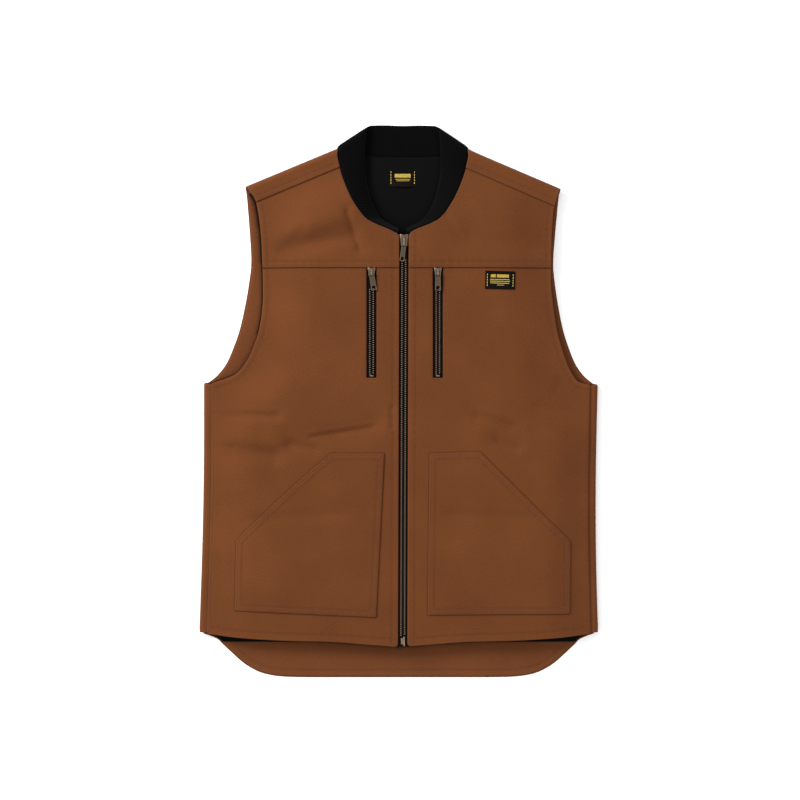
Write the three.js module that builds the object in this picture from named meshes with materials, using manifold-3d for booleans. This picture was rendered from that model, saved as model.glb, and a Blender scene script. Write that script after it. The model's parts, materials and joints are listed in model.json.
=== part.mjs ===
// Utility work vest, laid on its back with the front zip closed.
// Millimetres, +Z up, collar towards +Y, front towards +Z, middle of the floor area at the origin.
// Left and right are the sides of the picture, seen from above: left is -X.
import * as THREE from 'three';
import { mergeVertices } from 'three/addons/utils/BufferGeometryUtils.js';
import Module from 'manifold-3d';

const wasm = await Module();
wasm.setup();

// Body sizes, measured flat.
const CHEST_WIDTH = 552;
const HEM_WIDTH = 559;
const WAIST_DIP = 2.6;
const SHOULDER_SPAN = 441;
const NECK_WIDTH = 184.8;
const SIDE_LENGTH = 345;
const ARMHOLE_DEPTH = 278;
const SHOULDER_RISE = 54;
const COLLAR_RISE = 34;
const TAIL_DROP = 60;
const FRONT_HEM_DROP = 19;
const NECK_DROP = 120;
const YOKE_DEPTH = 112.5;

// Cloth and seams.
const CANVAS = 1.4;
const LINING = 1.0;
const KNIT = 3.0;
const LABEL = 0.6;
const GAP = 0.3;
const SIDE_SEAM_INSET = 11;
const SEAM_UNDERLAP = 8;
const SHOULDER_LAP = 28;
const YOKE_LAP = 10;
const ARMHOLE_FACING_WIDTH = 34;
const HEM_FACING_WIDTH = 48;
const HEM_ROLL = 2;

// How the cloth stands when it lies down.
const SIDE_FOLD_HEIGHT = 11;
const PUFF = 14;
const PUFF_REACH = 75;
const HEM_PUFF_SHARE = 0.6;
const ARMHOLE_PUFF_SHARE = 0.25;
const COLLAR_FREE_HEIGHT = 10;
const LAY_LEAN = 5.6;
const LAY_TURN = 0.006;

// Pockets and labels.
const POCKET_WIDTH = 205;
const POCKET_HEIGHT = 229;
const POCKET_BELOW_CHEST = 259.5;
const NECK_LABEL_WIDTH = 39;
const NECK_LABEL_HEIGHT = 26;
const NECK_LABEL_DROP = 27;
const CHEST_LABEL_WIDTH = 42;
const CHEST_LABEL_HEIGHT = 25.5;
const CHEST_LABEL_FROM_ZIP = 134.5;
const CHEST_LABEL_BELOW_SEAM = 5;
const CHEST_LABEL_TURN = -1.5;

// Zips.
const FRONT_ZIP_TOP_X = 7.3;
const FRONT_ZIP_FOOT_X = 5.5;
const FRONT_ZIP_OPENING = 13;
const CHEST_ZIP_OPENING = 14;
const CHEST_ZIP_LENGTH = 154;
const TAPE = 0.8;
const TAPE_MARGIN = 9;
const CHAIN_HEIGHT = 1.8;
const SLIDER_PLATE = 1.6;
const BRIDGE_WIDTH = 2.6;
const BRIDGE_BAR = 0.8;
const BRIDGE_LEG = 1.0;
const BRIDGE_WINDOW = 2.7;
const PULL_THICK = 1.2;
const PULL_BAR = 1.1;
const BOX_LENGTH = 14;
const BOX_WIDTH = 8;

// One row for each zip: where it is, its chain and slider, and how its pull lies.
const ZIPS = {
  front: { chain: 7, slider: [11.6, 16], pull: [6.7, 27], yaw: -7, dip: 1.5, hole: [2.6, 3.6] },
  left: { chain: 6.5, slider: [10.7, 11], pull: [8, 20], yaw: 9, dip: 4, hole: [3, 3] },
  right: { chain: 6.5, slider: [10.7, 11], pull: [8, 20], yaw: 0, dip: 4, hole: [3, 3] },
};
const CHEST_ZIP_FROM_FRONT = { left: -45.2, right: 47.4 };
const POCKET_FROM_FRONT = { left: -26.5, right: 36.5 };

// Armhole edges. down is a share of the armhole depth, the others go from 0 at the shoulder
// tip's half span to 1 at the chest's half width: back edge, and front edge of each side.
const ARMHOLE = [
  { down: 0.0, back: 0.0, left: 0.0, right: 0.0 },
  { down: 0.055, back: -0.035, left: -0.23, right: -0.095 },
  { down: 0.12, back: -0.065, left: -0.31, right: -0.168 },
  { down: 0.24, back: -0.115, left: -0.385, right: -0.208 },
  { down: 0.38, back: -0.155, left: -0.447, right: -0.22 },
  { down: 0.49, back: -0.1, left: -0.465, right: -0.213 },
  { down: 0.6, back: -0.01, left: -0.462, right: -0.15 },
  { down: 0.72, back: 0.12, left: -0.38, right: -0.048 },
  { down: 0.82, back: 0.29, left: -0.215, right: 0.095 },
  { down: 0.89, back: 0.445, left: -0.03, right: 0.225 },
  { down: 0.945, back: 0.65, left: 0.22, right: 0.37 },
  { down: 0.98, back: 0.857, left: 0.66, right: 0.55 },
  { down: 1.0, back: 1.0, left: 1.0, right: 1.0 },
];

// Neckline. down is a share of the neck drop, out a share of half the neck width. The seam is
// where the knit collar joins, the free edge is its other side, and lift says how high the row
// lies: 1 on the front of the vest, 0 flat behind the neck.
const COLLAR = [
  { seamDown: 0.995, seamOut: 0.075, freeDown: 0.925, freeOut: 0.06, lift: 1 },
  { seamDown: 0.94, seamOut: 0.21, freeDown: 0.9, freeOut: 0.135, lift: 1 },
  { seamDown: 0.88, seamOut: 0.4, freeDown: 0.85, freeOut: 0.25, lift: 1 },
  { seamDown: 0.8, seamOut: 0.575, freeDown: 0.78, freeOut: 0.355, lift: 1 },
  { seamDown: 0.6, seamOut: 0.762, freeDown: 0.58, freeOut: 0.49, lift: 1 },
  { seamDown: 0.36, seamOut: 0.9, freeDown: 0.3, freeOut: 0.568, lift: 1 },
  { seamDown: 0.13, seamOut: 0.98, freeDown: 0.0, freeOut: 0.572, lift: 1 },
  { seamDown: 0.035, seamOut: 0.995, freeDown: -0.2, freeOut: 0.54, lift: 0.9 },
  { seamDown: -0.015, seamOut: 0.99, freeDown: -0.272, freeOut: 0.523, lift: 0.5 },
  { seamDown: 0.015, seamOut: 0.95, freeDown: -0.262, freeOut: 0.495, lift: 0.1 },
  { seamDown: 0.065, seamOut: 0.75, freeDown: -0.28, freeOut: 0.4, lift: 0 },
  { seamDown: 0.1, seamOut: 0.4, freeDown: -0.28, freeOut: 0.2, lift: 0 },
  { seamDown: 0.105, seamOut: 0.0, freeDown: -0.275, freeOut: 0.0, lift: 0 },
];

// Tail of the back, below the side hems: shares of the tail drop and of half the hem width.
const TAIL = [
  { down: 0.0, out: 1.0 },
  { down: 0.16, out: 0.892 },
  { down: 0.4, out: 0.838 },
  { down: 0.63, out: 0.78 },
  { down: 0.87, out: 0.69 },
  { down: 1.0, out: 0.57 },
];

// Front hem, from the side to the zip: shares of half the hem width and of the hem's drop.
const FRONT_HEM = [
  { out: 1.0, down: 0.0 },
  { out: 0.82, down: 0.35 },
  { out: 0.58, down: 0.58 },
  { out: 0.33, down: 0.67 },
  { out: 0.18, down: 0.84 },
  { out: 0.0, down: 1.05 },
];

// Hand pocket corners, from the top corner beside the zip: shares of its width and height.
const POCKET_CORNERS = {
  left: [
    { across: 0.0, down: 0.0 },
    { across: 0.36, down: 0.0 },
    { across: 0.49, down: 0.094 },
    { across: 0.69, down: 0.257 },
    { across: 0.955, down: 0.48 },
    { across: 1.01, down: 0.535 },
    { across: 1.02, down: 0.96 },
    { across: 0.056, down: 1.0 },
  ],
  right: [
    { across: 0.0, down: 0.0 },
    { across: 0.346, down: -0.01 },
    { across: 0.435, down: 0.07 },
    { across: 0.76, down: 0.36 },
    { across: 0.955, down: 0.53 },
    { across: 0.962, down: 0.55 },
    { across: 0.957, down: 0.98 },
    { across: -0.012, down: 0.985 },
  ],
};

// Folds of the front: a crease from one end to the other, each end as shares of half the chest
// width and of the body length from the hem to the neck, with its width and depth as shares of
// the puff's reach and height. A negative depth is a valley.
const FOLDS = [
  { x1: -0.63, y1: 0.79, x2: -0.27, y2: 0.84, wide: 0.22, depth: -0.2 },
  { x1: -0.25, y1: 0.87, x2: -0.19, y2: 0.795, wide: 0.12, depth: -0.12 },
  { x1: 0.37, y1: 0.83, x2: 0.67, y2: 0.795, wide: 0.26, depth: -0.14 },
  { x1: -0.9, y1: 0.455, x2: -0.62, y2: 0.46, wide: 0.16, depth: -0.2 },
  { x1: -0.93, y1: 0.39, x2: -0.64, y2: 0.365, wide: 0.16, depth: -0.22 },
  { x1: -0.55, y1: 0.395, x2: -0.13, y2: 0.43, wide: 0.18, depth: -0.22 },
  { x1: 0.41, y1: 0.455, x2: 0.57, y2: 0.43, wide: 0.24, depth: -0.16 },
  { x1: 0.5, y1: 0.405, x2: 0.6, y2: 0.395, wide: 0.16, depth: -0.14 },
  { x1: -0.47, y1: 0.25, x2: -0.16, y2: 0.255, wide: 0.2, depth: -0.1 },
  { x1: 0.3, y1: 0.25, x2: 0.75, y2: 0.245, wide: 0.2, depth: -0.1 },
];

// Levels along the body and heights of the layers, worked out from the sizes above.
const LENGTH = TAIL_DROP + SIDE_LENGTH + ARMHOLE_DEPTH + SHOULDER_RISE + COLLAR_RISE;
const TAIL_Y = -LENGTH / 2;
const HEM_Y = TAIL_Y + TAIL_DROP;
const PIT_Y = HEM_Y + SIDE_LENGTH;
const TIP_Y = PIT_Y + ARMHOLE_DEPTH;
const NECK_Y = TIP_Y + SHOULDER_RISE;
const CHEST_Y = TIP_Y - YOKE_DEPTH;
const HALF_CHEST = CHEST_WIDTH / 2;
const HALF_HEM = HEM_WIDTH / 2;
const HALF_SHOULDER = SHOULDER_SPAN / 2;
const HALF_NECK = NECK_WIDTH / 2;
const SIDE_FOLD_RADIUS = SIDE_FOLD_HEIGHT / 2;
const LAYER = CANVAS + GAP;
const EDGE_LIFT = SIDE_FOLD_HEIGHT + GAP + CANVAS / 2;
const SHOULDER_FOLD_RADIUS = (EDGE_LIFT + 2 * LAYER + CANVAS / 2) / 2;
const INNER_Z = CANVAS + GAP;
const GRID = 24;
const GRID_TOP = 200;

// Points and curves in the plane.
const point = (x, y) => new THREE.Vector2(x, y);
const mirrored = (points) => points.map((p) => point(-p.x, p.y)).reverse();
const smooth = (share) => {
  const s = THREE.MathUtils.clamp(share, 0, 1);
  return s * s * (3 - 2 * s);
};

// The vest lies a little askew: it leans to the right above the waist and turns slightly.
function laid(p) {
  const rise = smooth((p.y - HEM_Y) / (NECK_Y - HEM_Y));
  return point(p.x + LAY_LEAN * rise, p.y - LAY_TURN * p.x * rise);
}

function curve(points, steps) {
  return new THREE.SplineCurve(points).getPoints(steps);
}

// Each point moved sideways along the line's left-hand normal.
function offsetLine(points, distance) {
  return points.map((p, i) => {
    const a = points[Math.max(i - 1, 0)];
    const b = points[Math.min(i + 1, points.length - 1)];
    const along = b.clone().sub(a).normalize();
    return point(p.x - along.y * distance, p.y + along.x * distance);
  });
}

function distanceToLine(p, line) {
  let best = Infinity;
  for (let i = 0; i + 1 < line.length; i += 1) {
    const a = line[i];
    const ab = line[i + 1].clone().sub(a);
    const t = THREE.MathUtils.clamp(p.clone().sub(a).dot(ab) / ab.lengthSq(), 0, 1);
    best = Math.min(best, p.distanceTo(a.clone().addScaledVector(ab, t)));
  }
  return best;
}

// Pattern lines of the right half in the straight frame, each from its upper to its lower end.
function sideLine(inset) {
  const points = [];
  for (let i = 0; i <= 8; i += 1) {
    const s = i / 8;
    const half = THREE.MathUtils.lerp(HALF_CHEST, HALF_HEM, s) - WAIST_DIP * Math.sin(Math.PI * s);
    points.push(point(half - inset, PIT_Y - s * SIDE_LENGTH));
  }
  return points;
}

function armholeLine(column) {
  const rows = ARMHOLE.map((row) => point(
    HALF_SHOULDER + row[column] * (HALF_CHEST - HALF_SHOULDER),
    TIP_Y - row.down * ARMHOLE_DEPTH,
  ));
  return curve(rows, 24);
}

function tailLine(inset) {
  const rows = TAIL.map((row) => point(row.out * HALF_HEM - inset, HEM_Y - row.down * TAIL_DROP + inset));
  return curve(rows, 12);
}

function frontHemLine() {
  return curve(FRONT_HEM.map((row) => point(row.out * HALF_HEM, HEM_Y - row.down * FRONT_HEM_DROP)), 10);
}

const neckPoint = (down, out) => point(out * HALF_NECK, NECK_Y - down * NECK_DROP);
const seamRows = COLLAR.map((row) => neckPoint(row.seamDown, row.seamOut));
const FOLD_ROW = COLLAR.findIndex((row) => row.lift < 0.6);
const frontNeckLine = () => curve(seamRows.slice(0, FOLD_ROW).reverse(), 16);
const backNeckLine = () => curve(seamRows.slice(FOLD_ROW), 10);
const shoulderTop = point(HALF_NECK, NECK_Y);
const shoulderTip = point(HALF_SHOULDER, TIP_Y);

// The shoulder line at a distance below its fold, from the neck to the armhole.
function shoulderLine(inset) {
  return offsetLine([shoulderTop, shoulderTip], -inset);
}

const side = { left: (points) => mirrored(points).map(laid), right: (points) => points.map(laid) };

// Height of the middle of the front canvas. It is held down along the side folds and the
// shoulder folds, less so at the armholes and the hem, and swells between them.
const heldSides = [side.left(sideLine(0)), side.right(sideLine(0))];
const heldShoulders = [side.left(shoulderLine(0)), side.right(shoulderLine(0))];
const heldArmholes = [side.left(armholeLine('left')), side.right(armholeLine('right'))];
const heldHem = side.left(frontHemLine()).concat(side.right(frontHemLine()).reverse());
const foldLines = FOLDS.map((fold) => ({
  line: [
    point(fold.x1 * HALF_CHEST, HEM_Y + fold.y1 * (NECK_Y - HEM_Y)),
    point(fold.x2 * HALF_CHEST, HEM_Y + fold.y2 * (NECK_Y - HEM_Y)),
  ],
  wide: fold.wide * PUFF_REACH,
  depth: fold.depth * PUFF,
}));

function frontHeight(x, y) {
  const p = point(x, y);
  let swell = 1;
  for (const line of heldSides) {
    swell *= smooth(distanceToLine(p, line) / PUFF_REACH);
  }
  for (const line of heldShoulders) {
    swell *= smooth((distanceToLine(p, line) - SHOULDER_FOLD_RADIUS) / PUFF_REACH);
  }
  for (const line of heldArmholes) {
    const share = smooth(distanceToLine(p, line) / PUFF_REACH);
    swell *= ARMHOLE_PUFF_SHARE + (1 - ARMHOLE_PUFF_SHARE) * share;
  }
  swell *= HEM_PUFF_SHARE + (1 - HEM_PUFF_SHARE) * smooth(distanceToLine(p, heldHem) / PUFF_REACH);
  let rise = PUFF;
  for (const fold of foldLines) {
    rise += fold.depth * Math.exp(-((distanceToLine(p, fold.line) / fold.wide) ** 2));
  }
  return EDGE_LIFT + swell * rise;
}

// The front's heights are worked out once on one grid, so that all layers run parallel.
const gridHeights = new Map();
function gridHeight(i, j) {
  const key = `${i},${j}`;
  if (!gridHeights.has(key)) {
    gridHeights.set(key, frontHeight(i * GRID, j * GRID));
  }
  return gridHeights.get(key);
}

// Height on the grid's triangles at any point.
function heightAt(x, y) {
  const i = Math.floor(x / GRID);
  const j = Math.floor(y / GRID);
  const u = x / GRID - i;
  const v = y / GRID - j;
  const a = gridHeight(i, j);
  const c = gridHeight(i + 1, j + 1);
  if (u > v) {
    const b = gridHeight(i + 1, j);
    return a + (b - a) * u + (c - b) * v;
  }
  const d = gridHeight(i, j + 1);
  return a + (c - d) * u + (d - a) * v;
}

// Solids.
function solidFrom(vertices, triangles) {
  const positions = new Float32Array(vertices.flat());
  let volume = 0;
  for (const [a, b, c] of triangles) {
    const [p, q, r] = [a, b, c].map((k) => new THREE.Vector3(...vertices[k]));
    volume += p.dot(q.cross(r));
  }
  const turned = volume < 0 ? triangles.map(([a, b, c]) => [a, c, b]) : triangles;
  const mesh = new wasm.Mesh({
    numProp: 3,
    vertProperties: positions,
    triVerts: new Uint32Array(turned.flat()),
  });
  mesh.merge();
  return new wasm.Manifold(mesh);
}

function solidOf(geometry) {
  const bare = geometry.clone();
  bare.deleteAttribute('normal');
  bare.deleteAttribute('uv');
  const merged = mergeVertices(bare, 1e-5);
  return new wasm.Manifold(new wasm.Mesh({
    numProp: 3,
    vertProperties: new Float32Array(merged.attributes.position.array),
    triVerts: new Uint32Array(merged.index.array),
  }));
}

function geometryOf(solid) {
  const mesh = solid.getMesh();
  const geometry = new THREE.BufferGeometry();
  geometry.setAttribute('position', new THREE.BufferAttribute(mesh.vertProperties, 3));
  geometry.setIndex(new THREE.BufferAttribute(mesh.triVerts, 1));
  geometry.computeVertexNormals();
  return geometry;
}

// A flat piece: the outline, from one height to another.
function prism(outline, low, high) {
  const shape = new THREE.Shape(outline);
  const geometry = new THREE.ExtrudeGeometry(shape, { depth: high - low, bevelEnabled: false });
  geometry.translate(0, 0, low);
  return solidOf(geometry);
}

// A piece of cloth that follows the front's height, lifted and cut to an outline.
function frontSheet(outline, lift, thick) {
  const xs = outline.map((p) => p.x);
  const ys = outline.map((p) => p.y);
  const i0 = Math.floor(Math.min(...xs) / GRID) - 1;
  const i1 = Math.ceil(Math.max(...xs) / GRID) + 1;
  const j0 = Math.floor(Math.min(...ys) / GRID) - 1;
  const j1 = Math.ceil(Math.max(...ys) / GRID) + 1;
  const rowSize = i1 - i0 + 1;
  const layerSize = rowSize * (j1 - j0 + 1);
  const vertices = [];
  for (const shift of [-thick / 2, thick / 2]) {
    for (let j = j0; j <= j1; j += 1) {
      for (let i = i0; i <= i1; i += 1) {
        vertices.push([i * GRID, j * GRID, gridHeight(i, j) + lift + shift]);
      }
    }
  }
  const index = (i, j) => (j - j0) * rowSize + (i - i0);
  const triangles = [];
  for (let j = j0; j < j1; j += 1) {
    for (let i = i0; i < i1; i += 1) {
      const [a, b, c, d] = [index(i, j), index(i + 1, j), index(i + 1, j + 1), index(i, j + 1)];
      triangles.push([a, c, b], [a, d, c]);
      triangles.push([a + layerSize, b + layerSize, c + layerSize]);
      triangles.push([a + layerSize, c + layerSize, d + layerSize]);
    }
  }
  const rim = [];
  for (let i = i0; i < i1; i += 1) rim.push(index(i, j0));
  for (let j = j0; j < j1; j += 1) rim.push(index(i1, j));
  for (let i = i1; i > i0; i -= 1) rim.push(index(i, j1));
  for (let j = j1; j > j0; j -= 1) rim.push(index(i0, j));
  rim.forEach((a, k) => {
    const b = rim[(k + 1) % rim.length];
    triangles.push([a, b, b + layerSize], [a, b + layerSize, a + layerSize]);
  });
  return solidFrom(vertices, triangles).intersect(prism(outline, 0, GRID_TOP));
}

// A section of (out, z) points swept along a line in the plane, out being its left-hand normal.
function sweep(line, section) {
  const vertices = [];
  line.forEach((p, i) => {
    const a = line[Math.max(i - 1, 0)];
    const b = line[Math.min(i + 1, line.length - 1)];
    const along = b.clone().sub(a).normalize();
    for (const [out, z] of section) {
      vertices.push([p.x - along.y * out, p.y + along.x * out, z]);
    }
  });
  const count = section.length;
  const triangles = [];
  for (let i = 0; i + 1 < line.length; i += 1) {
    for (let k = 0; k < count; k += 1) {
      const [a, b] = [i * count + k, i * count + ((k + 1) % count)];
      triangles.push([a, b, b + count], [a, b + count, a + count]);
    }
  }
  const contour = section.map(([out, z]) => point(out, z));
  const last = (line.length - 1) * count;
  const outward = THREE.ShapeUtils.isClockWise(contour) ? 1 : -1;
  for (const face of THREE.ShapeUtils.triangulateShape(contour, [])) {
    const [a, b, c] = outward > 0 ? [face[0], face[2], face[1]] : face;
    triangles.push([a, c, b], [last + a, last + b, last + c]);
  }
  return solidFrom(vertices, triangles);
}

// The section of cloth folded over an edge: flat below, half round, and a lip on top.
function foldSection(radius, thick, below, lip) {
  const steps = 6;
  const section = [[-below, 0]];
  for (let i = 0; i <= steps; i += 1) {
    const angle = (i / steps - 0.5) * Math.PI;
    section.push([radius * (Math.cos(angle) - 1), radius * (Math.sin(angle) + 1)]);
  }
  section.push([-lip, 2 * radius], [-lip, 2 * radius - thick]);
  for (let i = steps; i >= 0; i -= 1) {
    const angle = (i / steps - 0.5) * Math.PI;
    const inner = radius - thick;
    section.push([inner * Math.cos(angle) - radius, inner * Math.sin(angle) + radius]);
  }
  section.push([-below, thick]);
  return section;
}

// Back of the vest.
function backOutline(sideInset, shoulderInset, edgeInset) {
  const shoulder = shoulderLine(shoulderInset);
  const half = [
    ...offsetLine(backNeckLine().reverse(), -edgeInset),
    shoulder[0],
    ...stretchBelow(offsetLine(armholeLine('back'), -edgeInset), shoulder)
      .filter((p) => p.x < HALF_CHEST - sideInset && p.y > PIT_Y),
    ...sideLine(sideInset),
    ...tailLine(edgeInset).slice(1),
  ];
  return [...half.map(laid), ...mirrored(half).map(laid)];
}

const band = (low, high) => [point(-LENGTH, low), point(LENGTH, low), point(LENGTH, high), point(-LENGTH, high)];

function backSlab(low, high) {
  const outline = backOutline(SIDE_FOLD_RADIUS, SHOULDER_FOLD_RADIUS, 0);
  return prism(outline, 0, CANVAS).intersect(prism(band(low, high), -1, GRID_TOP));
}

function buildBackPanel() {
  const section = foldSection(SIDE_FOLD_RADIUS, CANVAS, 3 * SIDE_FOLD_RADIUS, SIDE_SEAM_INSET + SEAM_UNDERLAP);
  const wraps = [
    sweep(side.right(sideLine(0)), section),
    sweep(side.left(sideLine(0)), section),
  ];
  const slab = backSlab(TAIL_Y - CANVAS, CHEST_Y - GAP / 2);
  return slab.add(wraps[0]).add(wraps[1]);
}

// A straight band along the shoulder, between two distances below its fold, past both ends.
function shoulderBand(from, to) {
  const along = shoulderTip.clone().sub(shoulderTop).normalize().multiplyScalar(SHOULDER_LAP);
  const [a, b] = shoulderLine(from);
  const [c, d] = shoulderLine(to);
  return [a.sub(along), b.add(along), d.add(along), c.sub(along)];
}

// The back yoke runs over both shoulders to the shoulder seams on the front.
function shoulderWrap(name) {
  const below = 2 * SHOULDER_LAP;
  const trim = [
    point(shoulderTop.x, shoulderTop.y + SHOULDER_FOLD_RADIUS),
    point(shoulderTip.x, shoulderTip.y + SHOULDER_FOLD_RADIUS),
    ...armholeLine(name).filter((p) => p.y > TIP_Y - below),
    ...frontNeckLine().filter((p) => p.y > NECK_Y - below).reverse(),
  ];
  const section = foldSection(SHOULDER_FOLD_RADIUS, CANVAS, 2 * SHOULDER_FOLD_RADIUS, SHOULDER_FOLD_RADIUS + 2);
  const place = side[name];
  const tube = sweep(place(shoulderBand(0, 0).slice(0, 2)), section);
  const lip = frontSheet(place(shoulderBand(SHOULDER_FOLD_RADIUS - GAP, SHOULDER_LAP)), 2 * LAYER, CANVAS);
  return tube.add(lip).intersect(prism(place(trim), -1, GRID_TOP));
}

// Where a straight line crosses a given x.
function crossing(line, x) {
  const [a, b] = line;
  return a.y + ((x - a.x) / (b.x - a.x)) * (b.y - a.y);
}

// The stretch of a line that lies below an edge, from the point where it crosses it.
function stretchBelow(line, edge) {
  const depth = (p) => crossing(edge, p.x) - p.y;
  const kept = line.filter((p) => depth(p) > 0);
  const first = line.indexOf(kept[0]);
  if (first === 0) return kept;
  const above = line[first - 1];
  const share = depth(above) / (depth(above) - depth(kept[0]));
  return [above.clone().lerp(kept[0], share), ...kept];
}

function buildBackYoke() {
  const slab = backSlab(CHEST_Y + GAP / 2, NECK_Y + COLLAR_RISE);
  return slab.add(shoulderWrap('left')).add(shoulderWrap('right'));
}

// Front of the vest. The zip line leans a little, so the fronts follow it.
function zipX(y) {
  const share = (y - HEM_Y) / (NECK_Y - NECK_DROP - HEM_Y);
  return THREE.MathUtils.lerp(FRONT_ZIP_FOOT_X, FRONT_ZIP_TOP_X, share);
}

function beyondZip(name) {
  const sign = name === 'left' ? -1 : 1;
  const away = (y) => point(zipX(y) + (sign * FRONT_ZIP_OPENING) / 2, y);
  const outline = [
    away(-LENGTH),
    away(LENGTH),
    point(sign * LENGTH, LENGTH),
    point(sign * LENGTH, -LENGTH),
  ];
  return prism(sign > 0 ? outline.reverse() : outline, 0, GRID_TOP);
}

// One whole front in the straight frame: neckline, shoulder, armhole, side seam and hem.
function frontOutline(name) {
  const shoulderInset = SHOULDER_LAP - YOKE_LAP;
  const edge = shoulderLine(shoulderInset);
  const neck = stretchBelow(frontNeckLine(), edge);
  const seam = sideLine(SIDE_SEAM_INSET);
  const armhole = stretchBelow(armholeLine(name), edge).filter((p) => p.x < seam[0].x);
  const pit = armhole[armhole.length - 1].y;
  const half = [
    point(0, neck[neck.length - 1].y),
    ...neck.slice().reverse(),
    ...armhole,
    ...seam.map((p) => point(p.x, Math.min(p.y, pit))),
    ...frontHemLine().filter((p) => p.x < HALF_HEM - SIDE_SEAM_INSET),
  ];
  return side[name](half);
}

function frontPiece(name, low, high, lift) {
  const sheet = frontSheet(frontOutline(name), lift, CANVAS);
  return sheet.intersect(prism(band(low, high), 0, GRID_TOP)).intersect(beyondZip(name));
}

const chestZipX = (name) => zipX(CHEST_Y) + CHEST_ZIP_FROM_FRONT[name];
const buildFrontYoke = (name) => frontPiece(name, CHEST_Y, NECK_Y, LAYER);

function buildFrontPanel(name) {
  const x = chestZipX(name);
  const half = CHEST_ZIP_OPENING / 2;
  const window = prism([
    point(x - half, CHEST_Y - CHEST_ZIP_LENGTH),
    point(x + half, CHEST_Y - CHEST_ZIP_LENGTH),
    point(x + half, CHEST_Y + GAP),
    point(x - half, CHEST_Y + GAP),
  ], 0, GRID_TOP);
  return frontPiece(name, TAIL_Y, CHEST_Y + YOKE_LAP, 0).subtract(window);
}

function buildPocket(name) {
  const sign = name === 'left' ? -1 : 1;
  const x0 = zipX(CHEST_Y - POCKET_BELOW_CHEST) + POCKET_FROM_FRONT[name];
  const y0 = CHEST_Y - POCKET_BELOW_CHEST;
  const corners = POCKET_CORNERS[name].map((row) => point(
    x0 + sign * row.across * POCKET_WIDTH,
    y0 - row.down * POCKET_HEIGHT,
  ));
  return frontSheet(corners, LAYER, CANVAS);
}

// Inside of the back: facings at the armholes and the hem, and the lining between them.
const insideOutline = () => backOutline(
  SIDE_FOLD_RADIUS + HEM_ROLL,
  SHOULDER_FOLD_RADIUS + HEM_ROLL,
  HEM_ROLL,
);
const insideSheet = (outline) => prism(insideOutline(), INNER_Z, INNER_Z + LINING)
  .intersect(prism(outline, 0, GRID_TOP));

function facingOutline(name, width) {
  const edge = armholeLine('back');
  const start = edge[0].clone();
  start.y += ARMHOLE_DEPTH;
  const line = [start, ...edge, point(HALF_CHEST + width, PIT_Y)];
  const inner = offsetLine(line, -width);
  return side[name]([...line, ...inner.slice().reverse()]);
}

const buildArmholeFacing = (name) => insideSheet(facingOutline(name, ARMHOLE_FACING_WIDTH));

function buildHemFacing() {
  return insideSheet(band(TAIL_Y, TAIL_Y + HEM_FACING_WIDTH));
}

function buildBackLining() {
  const clear = ARMHOLE_FACING_WIDTH + GAP;
  const whole = insideSheet(band(TAIL_Y + HEM_FACING_WIDTH + GAP, NECK_Y + COLLAR_RISE));
  return whole
    .subtract(prism(facingOutline('left', clear), 0, GRID_TOP))
    .subtract(prism(facingOutline('right', clear), 0, GRID_TOP));
}

// What the collar stays clear of: the fronts beside the neckline and the back below its seam.
function neckClearance(name) {
  const front = [
    point(shoulderTop.x - GAP, shoulderTop.y + SHOULDER_FOLD_RADIUS),
    ...offsetLine(frontNeckLine(), -GAP),
  ];
  const end = front[front.length - 1];
  const beside = [...front, point(0, end.y), point(0, -LENGTH), point(LENGTH, -LENGTH), point(LENGTH, front[0].y)];
  const back = offsetLine(backNeckLine().reverse(), GAP);
  const under = [point(0, TIP_Y), point(0, back[0].y), ...back, point(HALF_NECK, TIP_Y)];
  return prism(side[name](beside), -1, GRID_TOP)
    .add(prism(side[name](under), -1, KNIT + GAP));
}

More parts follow.
